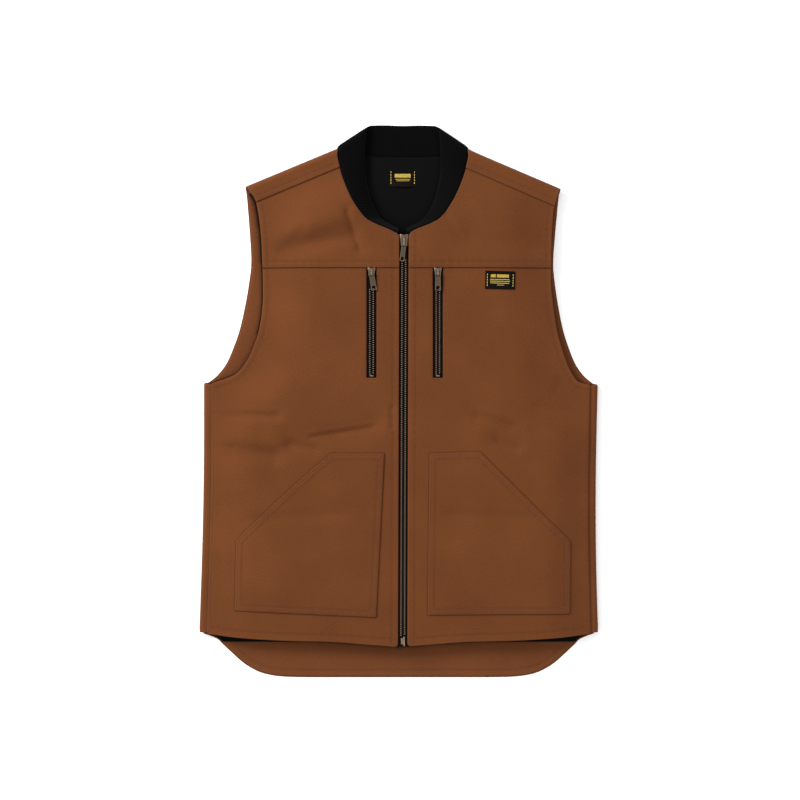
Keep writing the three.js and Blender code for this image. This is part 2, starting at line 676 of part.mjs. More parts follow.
// Knit collar: a sheet between its seam and its free edge, flat behind the neck, folded over at
// both shoulders, and sloping inwards on the front.
function buildCollar() {
  const middle = laid(point(0, NECK_Y)).x;
  const rows = COLLAR.map((row) => {
    const seam = neckPoint(row.seamDown, row.seamOut);
    const free = neckPoint(row.freeDown, row.freeOut);
    const inward = free.clone().sub(seam).normalize();
    seam.addScaledVector(inward, 2 * GAP);
    const front = heightAt(middle + seam.x, seam.y) + LAYER;
    const foot = KNIT / 2;
    const seamZ = foot + row.lift * (front - foot);
    const freeZ = foot + row.lift * (COLLAR_FREE_HEIGHT - foot);
    return { seam: new THREE.Vector3(seam.x, seam.y, seamZ), free: new THREE.Vector3(free.x, free.y, freeZ) };
  });
  const flip = (v) => new THREE.Vector3(-v.x, v.y, v.z);
  const left = rows.map((row) => ({ seam: flip(row.seam), free: flip(row.free) }));
  const all = left.concat(rows.slice(0, -1).reverse());
  const path = (key) => new THREE.CatmullRomCurve3(all.map((row) => row[key]), false, 'centripetal');
  const seamPath = path('seam');
  const freePath = path('free');
  const steps = 2 * (all.length - 1);
  const across = 3;
  const grid = [];
  for (let i = 0; i <= steps; i += 1) {
    const a = seamPath.getPoint(i / steps);
    const b = freePath.getPoint(i / steps);
    const line = [];
    for (let k = 0; k <= across; k += 1) line.push(a.clone().lerp(b, k / across));
    grid.push(line);
  }
  const normalAt = (i, k) => {
    const along = grid[Math.min(i + 1, steps)][k].clone().sub(grid[Math.max(i - 1, 0)][k]);
    const over = grid[i][Math.min(k + 1, across)].clone().sub(grid[i][Math.max(k - 1, 0)]);
    return along.cross(over).normalize();
  };
  const vertices = [];
  const width = across + 1;
  for (const way of [-1, 1]) {
    for (let i = 0; i <= steps; i += 1) {
      for (let k = 0; k <= across; k += 1) {
        const half = (k === 0 ? CANVAS : KNIT) / 2;
        const v = grid[i][k].clone().addScaledVector(normalAt(i, k), way * half);
        const p = laid(point(v.x, v.y));
        vertices.push([p.x, p.y, Math.max(v.z, 0)]);
      }
    }
  }
  const shell = (steps + 1) * width;
  const triangles = [];
  for (let i = 0; i < steps; i += 1) {
    for (let k = 0; k < across; k += 1) {
      const [a, b, c, d] = [i * width + k, (i + 1) * width + k, (i + 1) * width + k + 1, i * width + k + 1];
      triangles.push([a, c, b], [a, d, c]);
      triangles.push([a + shell, b + shell, c + shell], [a + shell, c + shell, d + shell]);
    }
  }
  const rim = [];
  for (let i = 0; i < steps; i += 1) rim.push(i * width);
  for (let k = 0; k < across; k += 1) rim.push(steps * width + k);
  for (let i = steps; i > 0; i -= 1) rim.push(i * width + across);
  for (let k = across; k > 0; k -= 1) rim.push(k);
  rim.forEach((a, n) => {
    const b = rim[(n + 1) % rim.length];
    triangles.push([a, b, b + shell], [a, b + shell, a + shell]);
  });
  return solidFrom(vertices, triangles)
    .subtract(neckClearance('left'))
    .subtract(neckClearance('right'));
}

// Labels.
function turnedBox(x, y, width, height, turn) {
  const corners = [[-1, -1], [1, -1], [1, 1], [-1, 1]];
  const angle = THREE.MathUtils.degToRad(turn);
  return corners.map(([u, v]) => point((u * width) / 2, (v * height) / 2)
    .rotateAround(point(0, 0), angle).add(point(x, y)));
}

function buildNeckLabel() {
  const y = NECK_Y - COLLAR[COLLAR.length - 1].seamDown * NECK_DROP - NECK_LABEL_DROP;
  const base = INNER_Z + LINING + GAP;
  const outline = turnedBox(laid(point(0, y)).x, y, NECK_LABEL_WIDTH, NECK_LABEL_HEIGHT, 0);
  return prism(outline, base, base + LABEL);
}

function buildChestLabel() {
  const x = zipX(CHEST_Y) + CHEST_LABEL_FROM_ZIP;
  const y = CHEST_Y - CHEST_LABEL_BELOW_SEAM - CHEST_LABEL_HEIGHT / 2;
  const outline = turnedBox(x, y, CHEST_LABEL_WIDTH, CHEST_LABEL_HEIGHT, CHEST_LABEL_TURN);
  return frontSheet(outline, CANVAS / 2 + GAP + LABEL / 2, LABEL);
}

// Zips. Each has a tape under the canvas, a chain on it, a slider and a pull on the slider's
// bridge. The front zip's tape is in two halves and ends in a box.
const strip = (x0, x1, low, high) => [
  point(x0(low), low),
  point(x1(low), low),
  point(x1(high), high),
  point(x0(high), high),
];

const TAPE_LIFT = -(CANVAS / 2 + GAP + TAPE / 2);
const CHAIN_LIFT = TAPE_LIFT + TAPE / 2 + GAP + CHAIN_HEIGHT / 2;
const CHAIN_TOP = CHAIN_LIFT + CHAIN_HEIGHT / 2;
const ZIP_TOP = NECK_Y - NECK_DROP;
const ZIP_FOOT = HEM_Y - FRONT_HEM_DROP + GAP;

const zipPlace = {
  front: { x: zipX, top: ZIP_TOP, foot: ZIP_FOOT + BOX_LENGTH, opening: FRONT_ZIP_OPENING },
  left: { x: () => chestZipX('left'), top: CHEST_Y, foot: CHEST_Y - CHEST_ZIP_LENGTH, opening: CHEST_ZIP_OPENING },
  right: { x: () => chestZipX('right'), top: CHEST_Y, foot: CHEST_Y - CHEST_ZIP_LENGTH, opening: CHEST_ZIP_OPENING },
};

function buildTape(zip, from, to, low, high) {
  const { x } = zipPlace[zip];
  return frontSheet(strip((y) => x(y) + from, (y) => x(y) + to, low, high), TAPE_LIFT, TAPE);
}

function buildChain(zip) {
  const { x, top, foot } = zipPlace[zip];
  const half = ZIPS[zip].chain / 2;
  return frontSheet(
    strip((y) => x(y) - half, (y) => x(y) + half, foot + GAP, top - GAP),
    CHAIN_LIFT,
    CHAIN_HEIGHT,
  );
}

function buildFrontBox() {
  const { x } = zipPlace.front;
  const half = BOX_WIDTH / 2;
  const outline = strip((y) => x(y) - half, (y) => x(y) + half, ZIP_FOOT, ZIP_FOOT + BOX_LENGTH);
  return frontSheet(outline, CHAIN_LIFT, CHAIN_HEIGHT + GAP);
}

// The slider's plate and bridge stand level, above the highest cloth under slider and pull.
function sliderFrame(zip) {
  const { x, top } = zipPlace[zip];
  const [, length] = ZIPS[zip].slider;
  const pullLength = ZIPS[zip].pull[1];
  const centre = point(x(top), top - GAP - length / 2);
  let highest = 0;
  for (let y = top; y > top - length - pullLength; y -= GRID / 8) {
    for (const dx of [-1, 0, 1]) {
      const reach = (dx * ZIPS[zip].slider[0]) / 2;
      highest = Math.max(highest, heightAt(centre.x + reach, y));
    }
  }
  return { centre, plate: highest + CHAIN_TOP + GAP, length };
}

function box(width, length, low, high, x, y) {
  const geometry = new THREE.BoxGeometry(width, length, high - low);
  geometry.translate(x, y, (low + high) / 2);
  return solidOf(geometry);
}

const bridgeY = (zip) => sliderFrame(zip).centre.y - ZIPS[zip].slider[1] / 2 + BRIDGE_WINDOW / 2 + BRIDGE_LEG;

function buildSlider(zip) {
  const { centre, plate, length } = sliderFrame(zip);
  const [width] = ZIPS[zip].slider;
  const flange = (width - ZIPS[zip].chain) / 2 - GAP;
  const floor = heightLow(centre, width, length) + TAPE_LIFT + TAPE / 2 + GAP;
  let solid = box(width, length, plate, plate + SLIDER_PLATE, centre.x, centre.y);
  for (const way of [-1, 1]) {
    const x = centre.x + (way * (width - flange)) / 2;
    solid = solid.add(box(flange, length, floor, plate + GAP, x, centre.y));
  }
  const top = plate + SLIDER_PLATE;
  const y = bridgeY(zip);
  const long = BRIDGE_WINDOW + 2 * BRIDGE_LEG;
  const arch = box(BRIDGE_WIDTH, long, top - GAP, top + BRIDGE_WINDOW + BRIDGE_BAR, centre.x, y);
  const window = box(2 * BRIDGE_WIDTH, BRIDGE_WINDOW, top, top + BRIDGE_WINDOW, centre.x, y);
  return solid.add(arch.subtract(window));
}

// The highest cloth under the slider, for its flanges.
function heightLow(centre, width, length) {
  let highest = 0;
  for (const u of [-1, 0, 1]) {
    for (const v of [-1, -0.5, 0, 0.5, 1]) {
      highest = Math.max(highest, heightAt(centre.x + (u * width) / 2, centre.y + (v * length) / 2));
    }
  }
  return highest;
}

function roundedRect(x0, y0, x1, y1, radius) {
  const shape = new THREE.Shape();
  shape.moveTo(x0 + radius, y0);
  shape.lineTo(x1 - radius, y0);
  shape.absarc(x1 - radius, y0 + radius, radius, -Math.PI / 2, 0);
  shape.lineTo(x1, y1 - radius);
  shape.absarc(x1 - radius, y1 - radius, radius, 0, Math.PI / 2);
  shape.lineTo(x0 + radius, y1);
  shape.absarc(x0 + radius, y1 - radius, radius, Math.PI / 2, Math.PI);
  shape.lineTo(x0, y0 + radius);
  shape.absarc(x0 + radius, y0 + radius, radius, Math.PI, 1.5 * Math.PI);
  return shape;
}

// The pull hangs from its bar at the origin and points to -Y.
function pullGeometry(zip) {
  const [width, length] = ZIPS[zip].pull;
  const [holeWide, holeLong] = ZIPS[zip].hole;
  const bar = PULL_BAR / 2;
  const tip = bar - length;
  const arm = BRIDGE_WIDTH / 2 + 2.5 * GAP;
  const eyeEnd = -(Math.hypot(BRIDGE_WINDOW / 2 + BRIDGE_LEG, BRIDGE_WINDOW / 2 + BRIDGE_BAR) + GAP);
  const shape = roundedRect(-width / 2, tip, width / 2, bar, 0.5 * PULL_THICK);
  shape.holes.push(new THREE.Path([
    point(-arm, -bar),
    point(arm, -bar),
    point(arm, eyeEnd),
    point(-arm, eyeEnd),
  ]));
  const margin = (width - holeWide) / 2;
  shape.holes.push(new THREE.Path([
    point(-holeWide / 2, tip + margin + holeLong),
    point(holeWide / 2, tip + margin + holeLong),
    point(holeWide / 2, tip + margin),
    point(-holeWide / 2, tip + margin),
  ]));
  const geometry = new THREE.ExtrudeGeometry(shape, { depth: PULL_THICK, bevelEnabled: false, curveSegments: 3 });
  geometry.translate(0, 0, -PULL_THICK / 2);
  return geometry;
}

// Colours and finishes.
const finish = (color, roughness, metalness) => new THREE.MeshStandardMaterial({ color, roughness, metalness });
const canvas = finish(0x764628, 0.92, 0);
const facing = finish(0x6d4128, 0.92, 0);
const knit = finish(0x0b0a0a, 0.95, 0);
const black = finish(0x141313, 0.8, 0);
const tapeCloth = finish(0x1a1412, 0.85, 0);
const brass = finish(0x6b5a4a, 0.4, 0.9);
const labelCloth = finish(0x101010, 0.7, 0);

const vest = new THREE.Group();
function addPiece(name, solid, material) {
  const geometry = solid.isBufferGeometry ? solid : geometryOf(solid);
  const mesh = new THREE.Mesh(geometry, material);
  mesh.name = name;
  vest.add(mesh);
  return mesh;
}

addPiece('back_panel', buildBackPanel(), canvas);
addPiece('back_yoke', buildBackYoke(), canvas);
addPiece('back_lining', buildBackLining(), black);
addPiece('back_hem_facing', buildHemFacing(), facing);
addPiece('collar', buildCollar(), knit);
addPiece('neck_label', buildNeckLabel(), labelCloth);
addPiece('chest_label', buildChestLabel(), labelCloth);
for (const name of ['left', 'right']) {
  addPiece(`armhole_facing_${name}`, buildArmholeFacing(name), facing);
  addPiece(`front_yoke_${name}`, buildFrontYoke(name), canvas);
  addPiece(`front_panel_${name}`, buildFrontPanel(name), canvas);
  addPiece(`hand_pocket_${name}`, buildPocket(name), canvas);
}

const halfTape = FRONT_ZIP_OPENING / 2 + TAPE_MARGIN;
addPiece('front_zip_tape_left', buildTape('front', -halfTape, -GAP / 2, ZIP_FOOT, ZIP_TOP), tapeCloth);
addPiece('front_zip_tape_right', buildTape('front', GAP / 2, halfTape, ZIP_FOOT, ZIP_TOP), tapeCloth);
addPiece('front_zip_box', buildFrontBox(), brass);
for (const name of ['left', 'right']) {
  const half = CHEST_ZIP_OPENING / 2 + TAPE_MARGIN;
  const { top, foot } = zipPlace[name];
  addPiece(`chest_zip_${name}_tape`, buildTape(name, -half, half, foot - TAPE_MARGIN, top + TAPE_MARGIN), tapeCloth);
}
for (const zip of ['front', 'left', 'right']) {
  const prefix = zip === 'front' ? 'front_zip' : `chest_zip_${zip}`;
  addPiece(`${prefix}_chain`, buildChain(zip), brass);
  addPiece(`${prefix}_slider`, buildSlider(zip), brass);
  const pull = addPiece(`${prefix}_pull`, pullGeometry(zip), brass);
  const { centre, plate } = sliderFrame(zip);
  pull.position.set(centre.x, bridgeY(zip), plate + SLIDER_PLATE + BRIDGE_WINDOW / 2);
  pull.rotation.set(THREE.MathUtils.degToRad(ZIPS[zip].dip), 0, THREE.MathUtils.degToRad(ZIPS[zip].yaw), 'ZYX');
}

export default vest;
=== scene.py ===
import json
import math
from collections import namedtuple

import bpy
import numpy as np
from bpy.props import FloatProperty, FloatVectorProperty, PointerProperty
from mathutils import Matrix, Vector
from mathutils.geometry import delaunay_2d_cdt


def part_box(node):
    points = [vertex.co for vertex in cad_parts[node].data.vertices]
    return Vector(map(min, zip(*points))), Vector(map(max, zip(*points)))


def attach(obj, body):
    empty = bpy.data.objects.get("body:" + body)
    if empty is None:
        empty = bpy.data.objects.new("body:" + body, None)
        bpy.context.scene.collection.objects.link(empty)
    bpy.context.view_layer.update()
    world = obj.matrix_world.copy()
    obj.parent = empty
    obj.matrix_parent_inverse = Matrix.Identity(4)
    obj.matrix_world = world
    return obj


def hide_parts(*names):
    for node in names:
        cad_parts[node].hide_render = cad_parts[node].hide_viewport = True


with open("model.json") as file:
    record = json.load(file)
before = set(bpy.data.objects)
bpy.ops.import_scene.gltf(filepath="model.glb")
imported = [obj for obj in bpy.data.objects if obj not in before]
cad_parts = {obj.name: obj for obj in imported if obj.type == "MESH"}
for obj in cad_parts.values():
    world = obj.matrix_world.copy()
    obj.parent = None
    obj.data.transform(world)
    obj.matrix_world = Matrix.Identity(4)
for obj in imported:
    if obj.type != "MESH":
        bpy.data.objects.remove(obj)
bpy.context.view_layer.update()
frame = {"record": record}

bl_info = {
    "name": "Utility work vest",
    "version": (1, 0, 0),
    "blender": (4, 5, 0),
    "location": "View3D > Sidebar > Vest",
    "description": "A canvas work vest lying on its back, with its zips, collar, pockets and stitching",
    "category": "Add Mesh",
}

SIDES = ("left", "right")
SIGN = {"left": -1.0, "right": 1.0}

# Armhole edges: down the armhole, then out from the shoulder tip's half span to the half chest.
ARMHOLE = [
    {"down": 0.0, "back": 0.0, "left": 0.0, "right": 0.0},
    {"down": 0.055, "back": -0.035, "left": -0.23, "right": -0.095},
    {"down": 0.12, "back": -0.065, "left": -0.325, "right": -0.168},
    {"down": 0.24, "back": -0.115, "left": -0.405, "right": -0.208},
    {"down": 0.38, "back": -0.155, "left": -0.447, "right": -0.22},
    {"down": 0.49, "back": -0.1, "left": -0.465, "right": -0.213},
    {"down": 0.6, "back": -0.01, "left": -0.462, "right": -0.15},
    {"down": 0.72, "back": 0.12, "left": -0.38, "right": -0.048},
    {"down": 0.82, "back": 0.29, "left": -0.215, "right": 0.095},
    {"down": 0.89, "back": 0.445, "left": -0.03, "right": 0.225},
    {"down": 0.945, "back": 0.65, "left": 0.22, "right": 0.37},
    {"down": 0.98, "back": 0.857, "left": 0.66, "right": 0.55},
    {"down": 1.0, "back": 1.0, "left": 1.0, "right": 1.0},
]

# Neckline: the collar's seam and its free edge, as shares of the neck drop and the half neck,
# and how high the row lies: 1 on the front, 0 flat behind the neck.
COLLAR = [
    {"seam": (0.995, 0.075), "free": (0.925, 0.06), "lift": 1.0},
    {"seam": (0.94, 0.21), "free": (0.9, 0.135), "lift": 1.0},
    {"seam": (0.88, 0.4), "free": (0.85, 0.25), "lift": 1.0},
    {"seam": (0.8, 0.575), "free": (0.78, 0.355), "lift": 1.0},
    {"seam": (0.6, 0.762), "free": (0.58, 0.49), "lift": 1.0},
    {"seam": (0.36, 0.9), "free": (0.3, 0.568), "lift": 1.0},
    {"seam": (0.13, 0.98), "free": (0.0, 0.572), "lift": 1.0},
    {"seam": (0.035, 0.995), "free": (-0.19, 0.548), "lift": 0.9},
    {"seam": (-0.015, 0.99), "free": (-0.262, 0.51), "lift": 0.5},
    {"seam": (0.015, 0.95), "free": (-0.276, 0.455), "lift": 0.15},
    {"seam": (0.065, 0.75), "free": (-0.28, 0.36), "lift": 0.0},
    {"seam": (0.1, 0.4), "free": (-0.28, 0.2), "lift": 0.0},
    {"seam": (0.105, 0.0), "free": (-0.275, 0.0), "lift": 0.0},
]

# Tail: down the tail drop and out along the half hem.
TAIL = [(0.0, 1.0), (0.15, 0.915), (0.29, 0.882), (0.51, 0.832), (0.74, 0.775), (0.91, 0.712), (1.0, 0.65),
        (1.045, 0.57), (1.058, 0.45)]

# Front hem: out along the half hem and down its drop.
FRONT_HEM = [(1.0, 0.0), (0.82, 0.35), (0.58, 0.58), (0.33, 0.67), (0.18, 0.84), (0.0, 1.05)]

# Hand pocket corners: across from the zip and down from the top, as shares of its size.
POCKETS = {
    "left": [(0.0, 0.0), (0.36, 0.0), (0.49, 0.094), (0.69, 0.257), (0.955, 0.48), (1.01, 0.535),
             (1.02, 0.96), (0.056, 1.0)],
    "right": [(0.0, 0.0), (0.346, -0.01), (0.435, 0.07), (0.76, 0.36), (0.955, 0.53), (0.962, 0.55),
              (0.957, 0.98), (-0.012, 0.985)],
}

# Folds of the front: both ends as shares of the half chest and of the length from hem to neck,
# then the width as a share of the puff's reach and the depth as a share of its height.
Fold = namedtuple("Fold", "x1 y1 x2 y2 width depth")
FOLDS = [
    Fold(-0.63, 0.79, -0.27, 0.84, 0.22, -0.28),
    Fold(-0.25, 0.87, -0.19, 0.795, 0.12, -0.18),
    Fold(0.37, 0.83, 0.67, 0.795, 0.26, -0.2),
    Fold(-0.9, 0.455, -0.62, 0.46, 0.16, -0.2),
    Fold(-0.93, 0.39, -0.64, 0.365, 0.16, -0.22),
    Fold(-0.55, 0.395, -0.13, 0.43, 0.18, -0.22),
    Fold(0.41, 0.455, 0.57, 0.43, 0.24, -0.16),
    Fold(0.5, 0.405, 0.6, 0.395, 0.16, -0.14),
    Fold(-0.47, 0.25, -0.16, 0.255, 0.2, -0.1),
    Fold(0.3, 0.25, 0.75, 0.245, 0.2, -0.1),
]

# Sharper creases of the front: both ends as shares like the folds, then width, depth and
# skew in metres. The skew makes one side of the crease steeper than the other.
Crease = namedtuple("Crease", "x1 y1 x2 y2 width depth skew")
CREASES = [
    Crease(-0.58, 0.793, -0.25, 0.817, 0.0105, -0.0046, 0.0),
    Crease(-0.6, 0.824, -0.25, 0.857, 0.0135, 0.0034, 0.0),
    Crease(-0.6, 0.79, -0.5, 0.835, 0.008, -0.0008, 0.0006),
    Crease(-0.253, 0.869, -0.192, 0.795, 0.004, -0.0013, 0.0019),
    Crease(-0.225, 0.872, -0.165, 0.81, 0.007, 0.0009, 0.0),
    Crease(-0.86, 0.535, -0.8, 0.525, 0.004, -0.0016, 0.001),
    Crease(-0.83, 0.505, -0.86, 0.545, 0.0035, -0.0011, -0.0009),
    Crease(-0.88, 0.455, -0.62, 0.452, 0.0065, -0.0016, 0.0019),
    Crease(-0.95, 0.39, -0.84, 0.387, 0.004, -0.0011, 0.0014),
    Crease(-0.84, 0.383, -0.62, 0.375, 0.013, -0.0024, 0.0014),
    Crease(-0.54, 0.392, -0.43, 0.385, 0.0085, -0.0024, 0.0018),
    Crease(-0.45, 0.407, -0.14, 0.427, 0.004, -0.0011, 0.0017),
    Crease(-0.4, 0.425, -0.18, 0.437, 0.006, 0.0006, 0.0),
    Crease(-0.045, 0.425, -0.045, 0.465, 0.004, -0.0008, 0.0008),
    Crease(0.41, 0.452, 0.57, 0.43, 0.008, -0.0018, 0.0014),
    Crease(0.51, 0.4, 0.6, 0.385, 0.0065, -0.0016, 0.0013),
    Crease(0.64, 0.42, 0.66, 0.38, 0.006, 0.0008, 0.0),
    Crease(0.37, 0.82, 0.66, 0.79, 0.016, -0.0024, 0.001),
    Crease(0.24, 0.87, 0.31, 0.82, 0.008, -0.0009, 0.0005),
    Crease(0.86, 0.54, 0.8, 0.5, 0.006, -0.001, 0.0006),
    Crease(0.93, 0.45, 0.7, 0.462, 0.008, -0.0009, 0.0006),
    Crease(-0.78, 0.24, -0.3, 0.252, 0.009, -0.0006, 0.0005),
    Crease(0.25, 0.25, 0.72, 0.243, 0.009, -0.0006, 0.0005),
    Crease(-0.7, 0.13, -0.2, 0.17, 0.02, 0.0009, 0.0),
    Crease(0.2, 0.16, 0.66, 0.12, 0.02, 0.0009, 0.0),
    Crease(-0.84, 0.09, -0.86, 0.3, 0.008, -0.0006, 0.0004),
    Crease(-0.1, 0.6, -0.11, 0.72, 0.008, 0.0005, 0.0),
]

# Zips: chain width, slider width and length, pull width and length, and the pull's turn and
# dip in degrees.
ZIPS = {
    "front": {"chain": 0.007, "slider": (0.0116, 0.016), "pull": (0.0067, 0.0245), "yaw": -7.0, "dip": 1.5},
    "left": {"chain": 0.0065, "slider": (0.0107, 0.011), "pull": (0.0078, 0.0235), "yaw": 9.0, "dip": 4.0},
    "right": {"chain": 0.0065, "slider": (0.0107, 0.011), "pull": (0.0078, 0.0235), "yaw": 0.0, "dip": 4.0},
}
CHEST_ZIP_FROM_FRONT = {"left": -0.0452, "right": 0.0474}
POCKET_FROM_FRONT = {"left": -0.0265, "right": 0.0365}
POCKET_BELOW_SEAM = 0.2595
POCKET_WIDTH = 0.205
POCKET_HEIGHT = 0.229

# How far the vest turns as it lies, and where the front zip stands at its top and its foot.
LAY_TURN = 0.006
ZIP_TOP_X = 0.0073
ZIP_FOOT_X = 0.0055

# Zip windows, tapes, teeth and pulls.
FRONT_OPENING = 0.013
CHEST_OPENING = 0.014
CHEST_LENGTH = 0.154
TAPE = 0.0008
TAPE_MARGIN = 0.009
CHAIN_HEIGHT = 0.0018
TOOTH_PITCH = 0.003
TOOTH_SHARE = 0.36
TOOTH_TURN = math.radians(14)
PLATE_HEIGHT = 0.0016
SLIDER_HEIGHT = 0.0051
PULL_THICKNESS = 0.0012
PULL_HOLE = 0.0046
PULL_RIM = 0.0012

# Stitch lines, from the edge that they follow.
HEM_STITCH = 0.0105
ARMHOLE_STITCH = 0.007
BACK_ARMHOLE_STITCH = 0.009
ZIP_STITCH = 0.0095
EDGE_STITCH = 0.002

# Labels: width and height.
NECK_LABEL = (0.039, 0.026)
CHEST_LABEL = (0.042, 0.0255)
LABEL_TURN = math.radians(-1.5)
LABEL_THICKNESS = 0.0006

# Stage: lights with their place, watts and size, and the camera.
LIGHTS = (("key", (-3.3, 2.3, 2.3), 330.0, 1.7), ("fill", (2.6, -1.4, 3.4), 50.0, 2.4))
LENS = 150.0
SENSOR = 36.0
VIEW_HALF_WIDTH = 0.56
VIEW_HEIGHT = 0.012
VIEW_X = 0.0017

# First row of the collar's table that lies behind the neck.
FOLD_ROW = next(i for i, row in enumerate(COLLAR) if row["lift"] < 0.6)


def length_prop(name, description, default):
    return FloatProperty(name=name, description=description, default=default, unit="LENGTH", precision=4)


def colour_prop(name, description, default):
    return FloatVectorProperty(
        name=name, description=description, default=default, subtype="COLOR", size=3, min=0.0, max=1.0
    )


class VestSizes(bpy.types.PropertyGroup):
    """Sizes of the vest, measured flat"""

    chest_width: length_prop("Chest width", "Width from armhole to armhole", 0.552)
    hem_width: length_prop("Hem width", "Width at the hem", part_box("back_panel")[1].x * 2)
    waist_dip: length_prop("Waist dip", "How far each side dips in at the waist", 0.0026)
    shoulder_span: length_prop("Shoulder span", "Width from shoulder tip to shoulder tip", 0.441)
    neck_width: length_prop("Neck width", "Width of the neck at the shoulders", 0.1848)
    side_length: length_prop("Side length", "From the armhole down to the side hem", 0.345)
    armhole_depth: length_prop("Armhole depth", "From the shoulder tip down to the armhole's foot", 0.278)
    shoulder_rise: length_prop("Shoulder rise", "From the shoulder tip up to the neck point", 0.054)
    collar_rise: length_prop("Collar rise", "From the neck point up to the collar's top", 0.034)
    tail_drop: length_prop("Tail drop", "How far the back hangs below the side hems", 0.06)
    hem_drop: length_prop("Front hem drop", "How far the front hem drops towards the zip", 0.019)
    neck_drop: length_prop("Neck drop", "From the neck point down to the zip's top", 0.12)
    yoke_depth: length_prop("Yoke depth", "From the shoulder tip down to the chest seam", 0.1125)
    canvas: length_prop("Canvas", "Thickness of the canvas", 0.0014)
    lining: length_prop("Lining", "Thickness of the lining", 0.001)
    knit: length_prop("Knit", "Thickness of the collar's knit", 0.003)
    gap: length_prop("Gap", "Gap between layers", 0.0003)
    side_inset: length_prop("Side seam inset", "From the side fold to the side seam", 0.011)
    underlap: length_prop("Underlap", "How far the back runs under the side seam", 0.008)
    shoulder_lap: length_prop("Shoulder lap", "From the shoulder fold to the shoulder seam", 0.0257)
    yoke_lap: length_prop("Yoke lap", "How far a piece runs under the next at a seam", 0.01)
    facing_width: length_prop("Armhole facing", "Width of the facing inside the armhole", 0.034)
    hem_facing: length_prop("Hem facing", "Height of the facing inside the tail", 0.0466)
    side_fold: length_prop("Side fold", "Height of the fold at the sides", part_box("back_panel")[1].z)
    puff: length_prop("Puff", "How far the front swells above its edges", 0.014)
    puff_reach: length_prop("Puff reach", "How far from an edge the swell is full", 0.075)
    free_height: length_prop("Collar free height", "Height of the collar's free edge in front", 0.01)
    lay_lean: length_prop("Lean", "How far the neck lies to the right", 0.0056)
    net: length_prop("Net", "Distance of the points of the cloth's mesh", 0.0034)


class VestColours(bpy.types.PropertyGroup):
    """Colours of the vest's cloths and metals"""

    canvas: colour_prop("Canvas", "Brown duck canvas", (0.0942, 0.0287, 0.0077))
    facing: colour_prop("Facing", "Inside face of the canvas", (0.101, 0.0315, 0.0098))
    thread: colour_prop("Thread", "Brown sewing thread", (0.102, 0.031, 0.0095))
    lining: colour_prop("Lining", "Black lining", (0.0017, 0.0016, 0.0017))
    knit: colour_prop("Knit", "Black rib knit", (0.0011, 0.00085, 0.00085))
    tape: colour_prop("Zip tape", "Dark zip tape", (0.0038, 0.0023, 0.0017))
    brass: colour_prop("Antique brass", "Metal of the zips", (0.088, 0.064, 0.043))
    gold: colour_prop("Gold thread", "Stitches and stripes of the labels", (0.62, 0.44, 0.07))
    floor: colour_prop("Floor", "Pale studio floor", (0.97, 0.97, 0.97))


# Plane geometry, on arrays of points.
def smooth(share):
    s = np.clip(share, 0.0, 1.0)
    return s * s * (3.0 - 2.0 * s)


def spline(points, per=6):
    """A smooth line through the points."""
    p = np.asarray(points, float)
    ends = np.vstack([p[:1], p, p[-1:]])
    t = np.linspace(0.0, 1.0, per, endpoint=False)[:, None]
    rows = []
    for i in range(len(p) - 1):
        p0, p1, p2, p3 = ends[i:i + 4]
        v0, v1 = (p2 - p0) / 2, (p3 - p1) / 2
        rows.append((2 * p1 - 2 * p2 + v0 + v1) * t**3 + (3 * p2 - 3 * p1 - 2 * v0 - v1) * t**2 + v0 * t + p1)
    return np.vstack(rows + [p[-1:]])


def divided(line, step):
    """The same line, with no stretch longer than step."""
    parts = []
    for a, b in zip(line[:-1], line[1:]):
        count = max(1, math.ceil(np.linalg.norm(b - a) / step))
        parts.append(a + (b - a) * (np.arange(count) / count)[:, None])
    return np.vstack(parts + [line[-1:]])


def arcs(line):
    """Distance along the line of each of its points."""
    return np.concatenate([[0.0], np.cumsum(np.linalg.norm(np.diff(line, axis=0), axis=1))])


def along(line, distances):
    """Points of a line at distances along it."""
    s = arcs(line)
    return np.stack([np.interp(distances, s, line[:, k]) for k in range(line.shape[1])], axis=1)


def shifted(line, distance):
    """The line moved along its left-hand normal."""
    before = np.vstack([line[:1], line[:-1]])
    after = np.vstack([line[1:], line[-1:]])
    d = after - before
    d /= np.maximum(np.linalg.norm(d, axis=1), 1e-12)[:, None]
    return line + distance * np.stack([-d[:, 1], d[:, 0]], axis=1)


def nearest(points, line):
    """Distance of each point to the line, and how far along the line that is."""
    best = np.full(len(points), np.inf)
    where = np.zeros(len(points))
    start = 0.0
    for a, b in zip(line[:-1], line[1:]):
        ab = b - a
        size = math.hypot(*ab)
        if size < 1e-12:
            continue
        offset = points - a
        t = np.clip(offset @ ab / size**2, 0.0, 1.0)
        d = np.hypot(offset[:, 0] - t * ab[0], offset[:, 1] - t * ab[1])
        closer = d < best
        best[closer] = d[closer]
        where[closer] = start + t[closer] * size
        start += size
    return best, where


def inside(points, outline):
    """Whether each point lies inside the closed outline."""
    result = np.zeros(len(points), bool)
    x, y = points[:, 0], points[:, 1]
    for a, b in zip(outline, np.roll(outline, -1, axis=0)):
        if a[1] == b[1]:
            continue
        crosses = (a[1] > y) != (b[1] > y)
        result ^= crosses & (x < a[0] + (y - a[1]) * (b[0] - a[0]) / (b[1] - a[1]))
    return result


def closed(outline):
    return np.vstack([outline, outline[:1]])


def clipped(outline, origin, normal):
    """The part of the outline on the normal's side of a line."""
    depth = (outline - np.asarray(origin)) @ np.asarray(normal)
    kept = []
    for i in range(len(outline)):
        j = (i + 1) % len(outline)
        if depth[i] >= 0:
            kept.append(outline[i])
        if (depth[i] >= 0) != (depth[j] >= 0):
            share = depth[i] / (depth[i] - depth[j])
            kept.append(outline[i] + (outline[j] - outline[i]) * share)
    return np.array(kept)


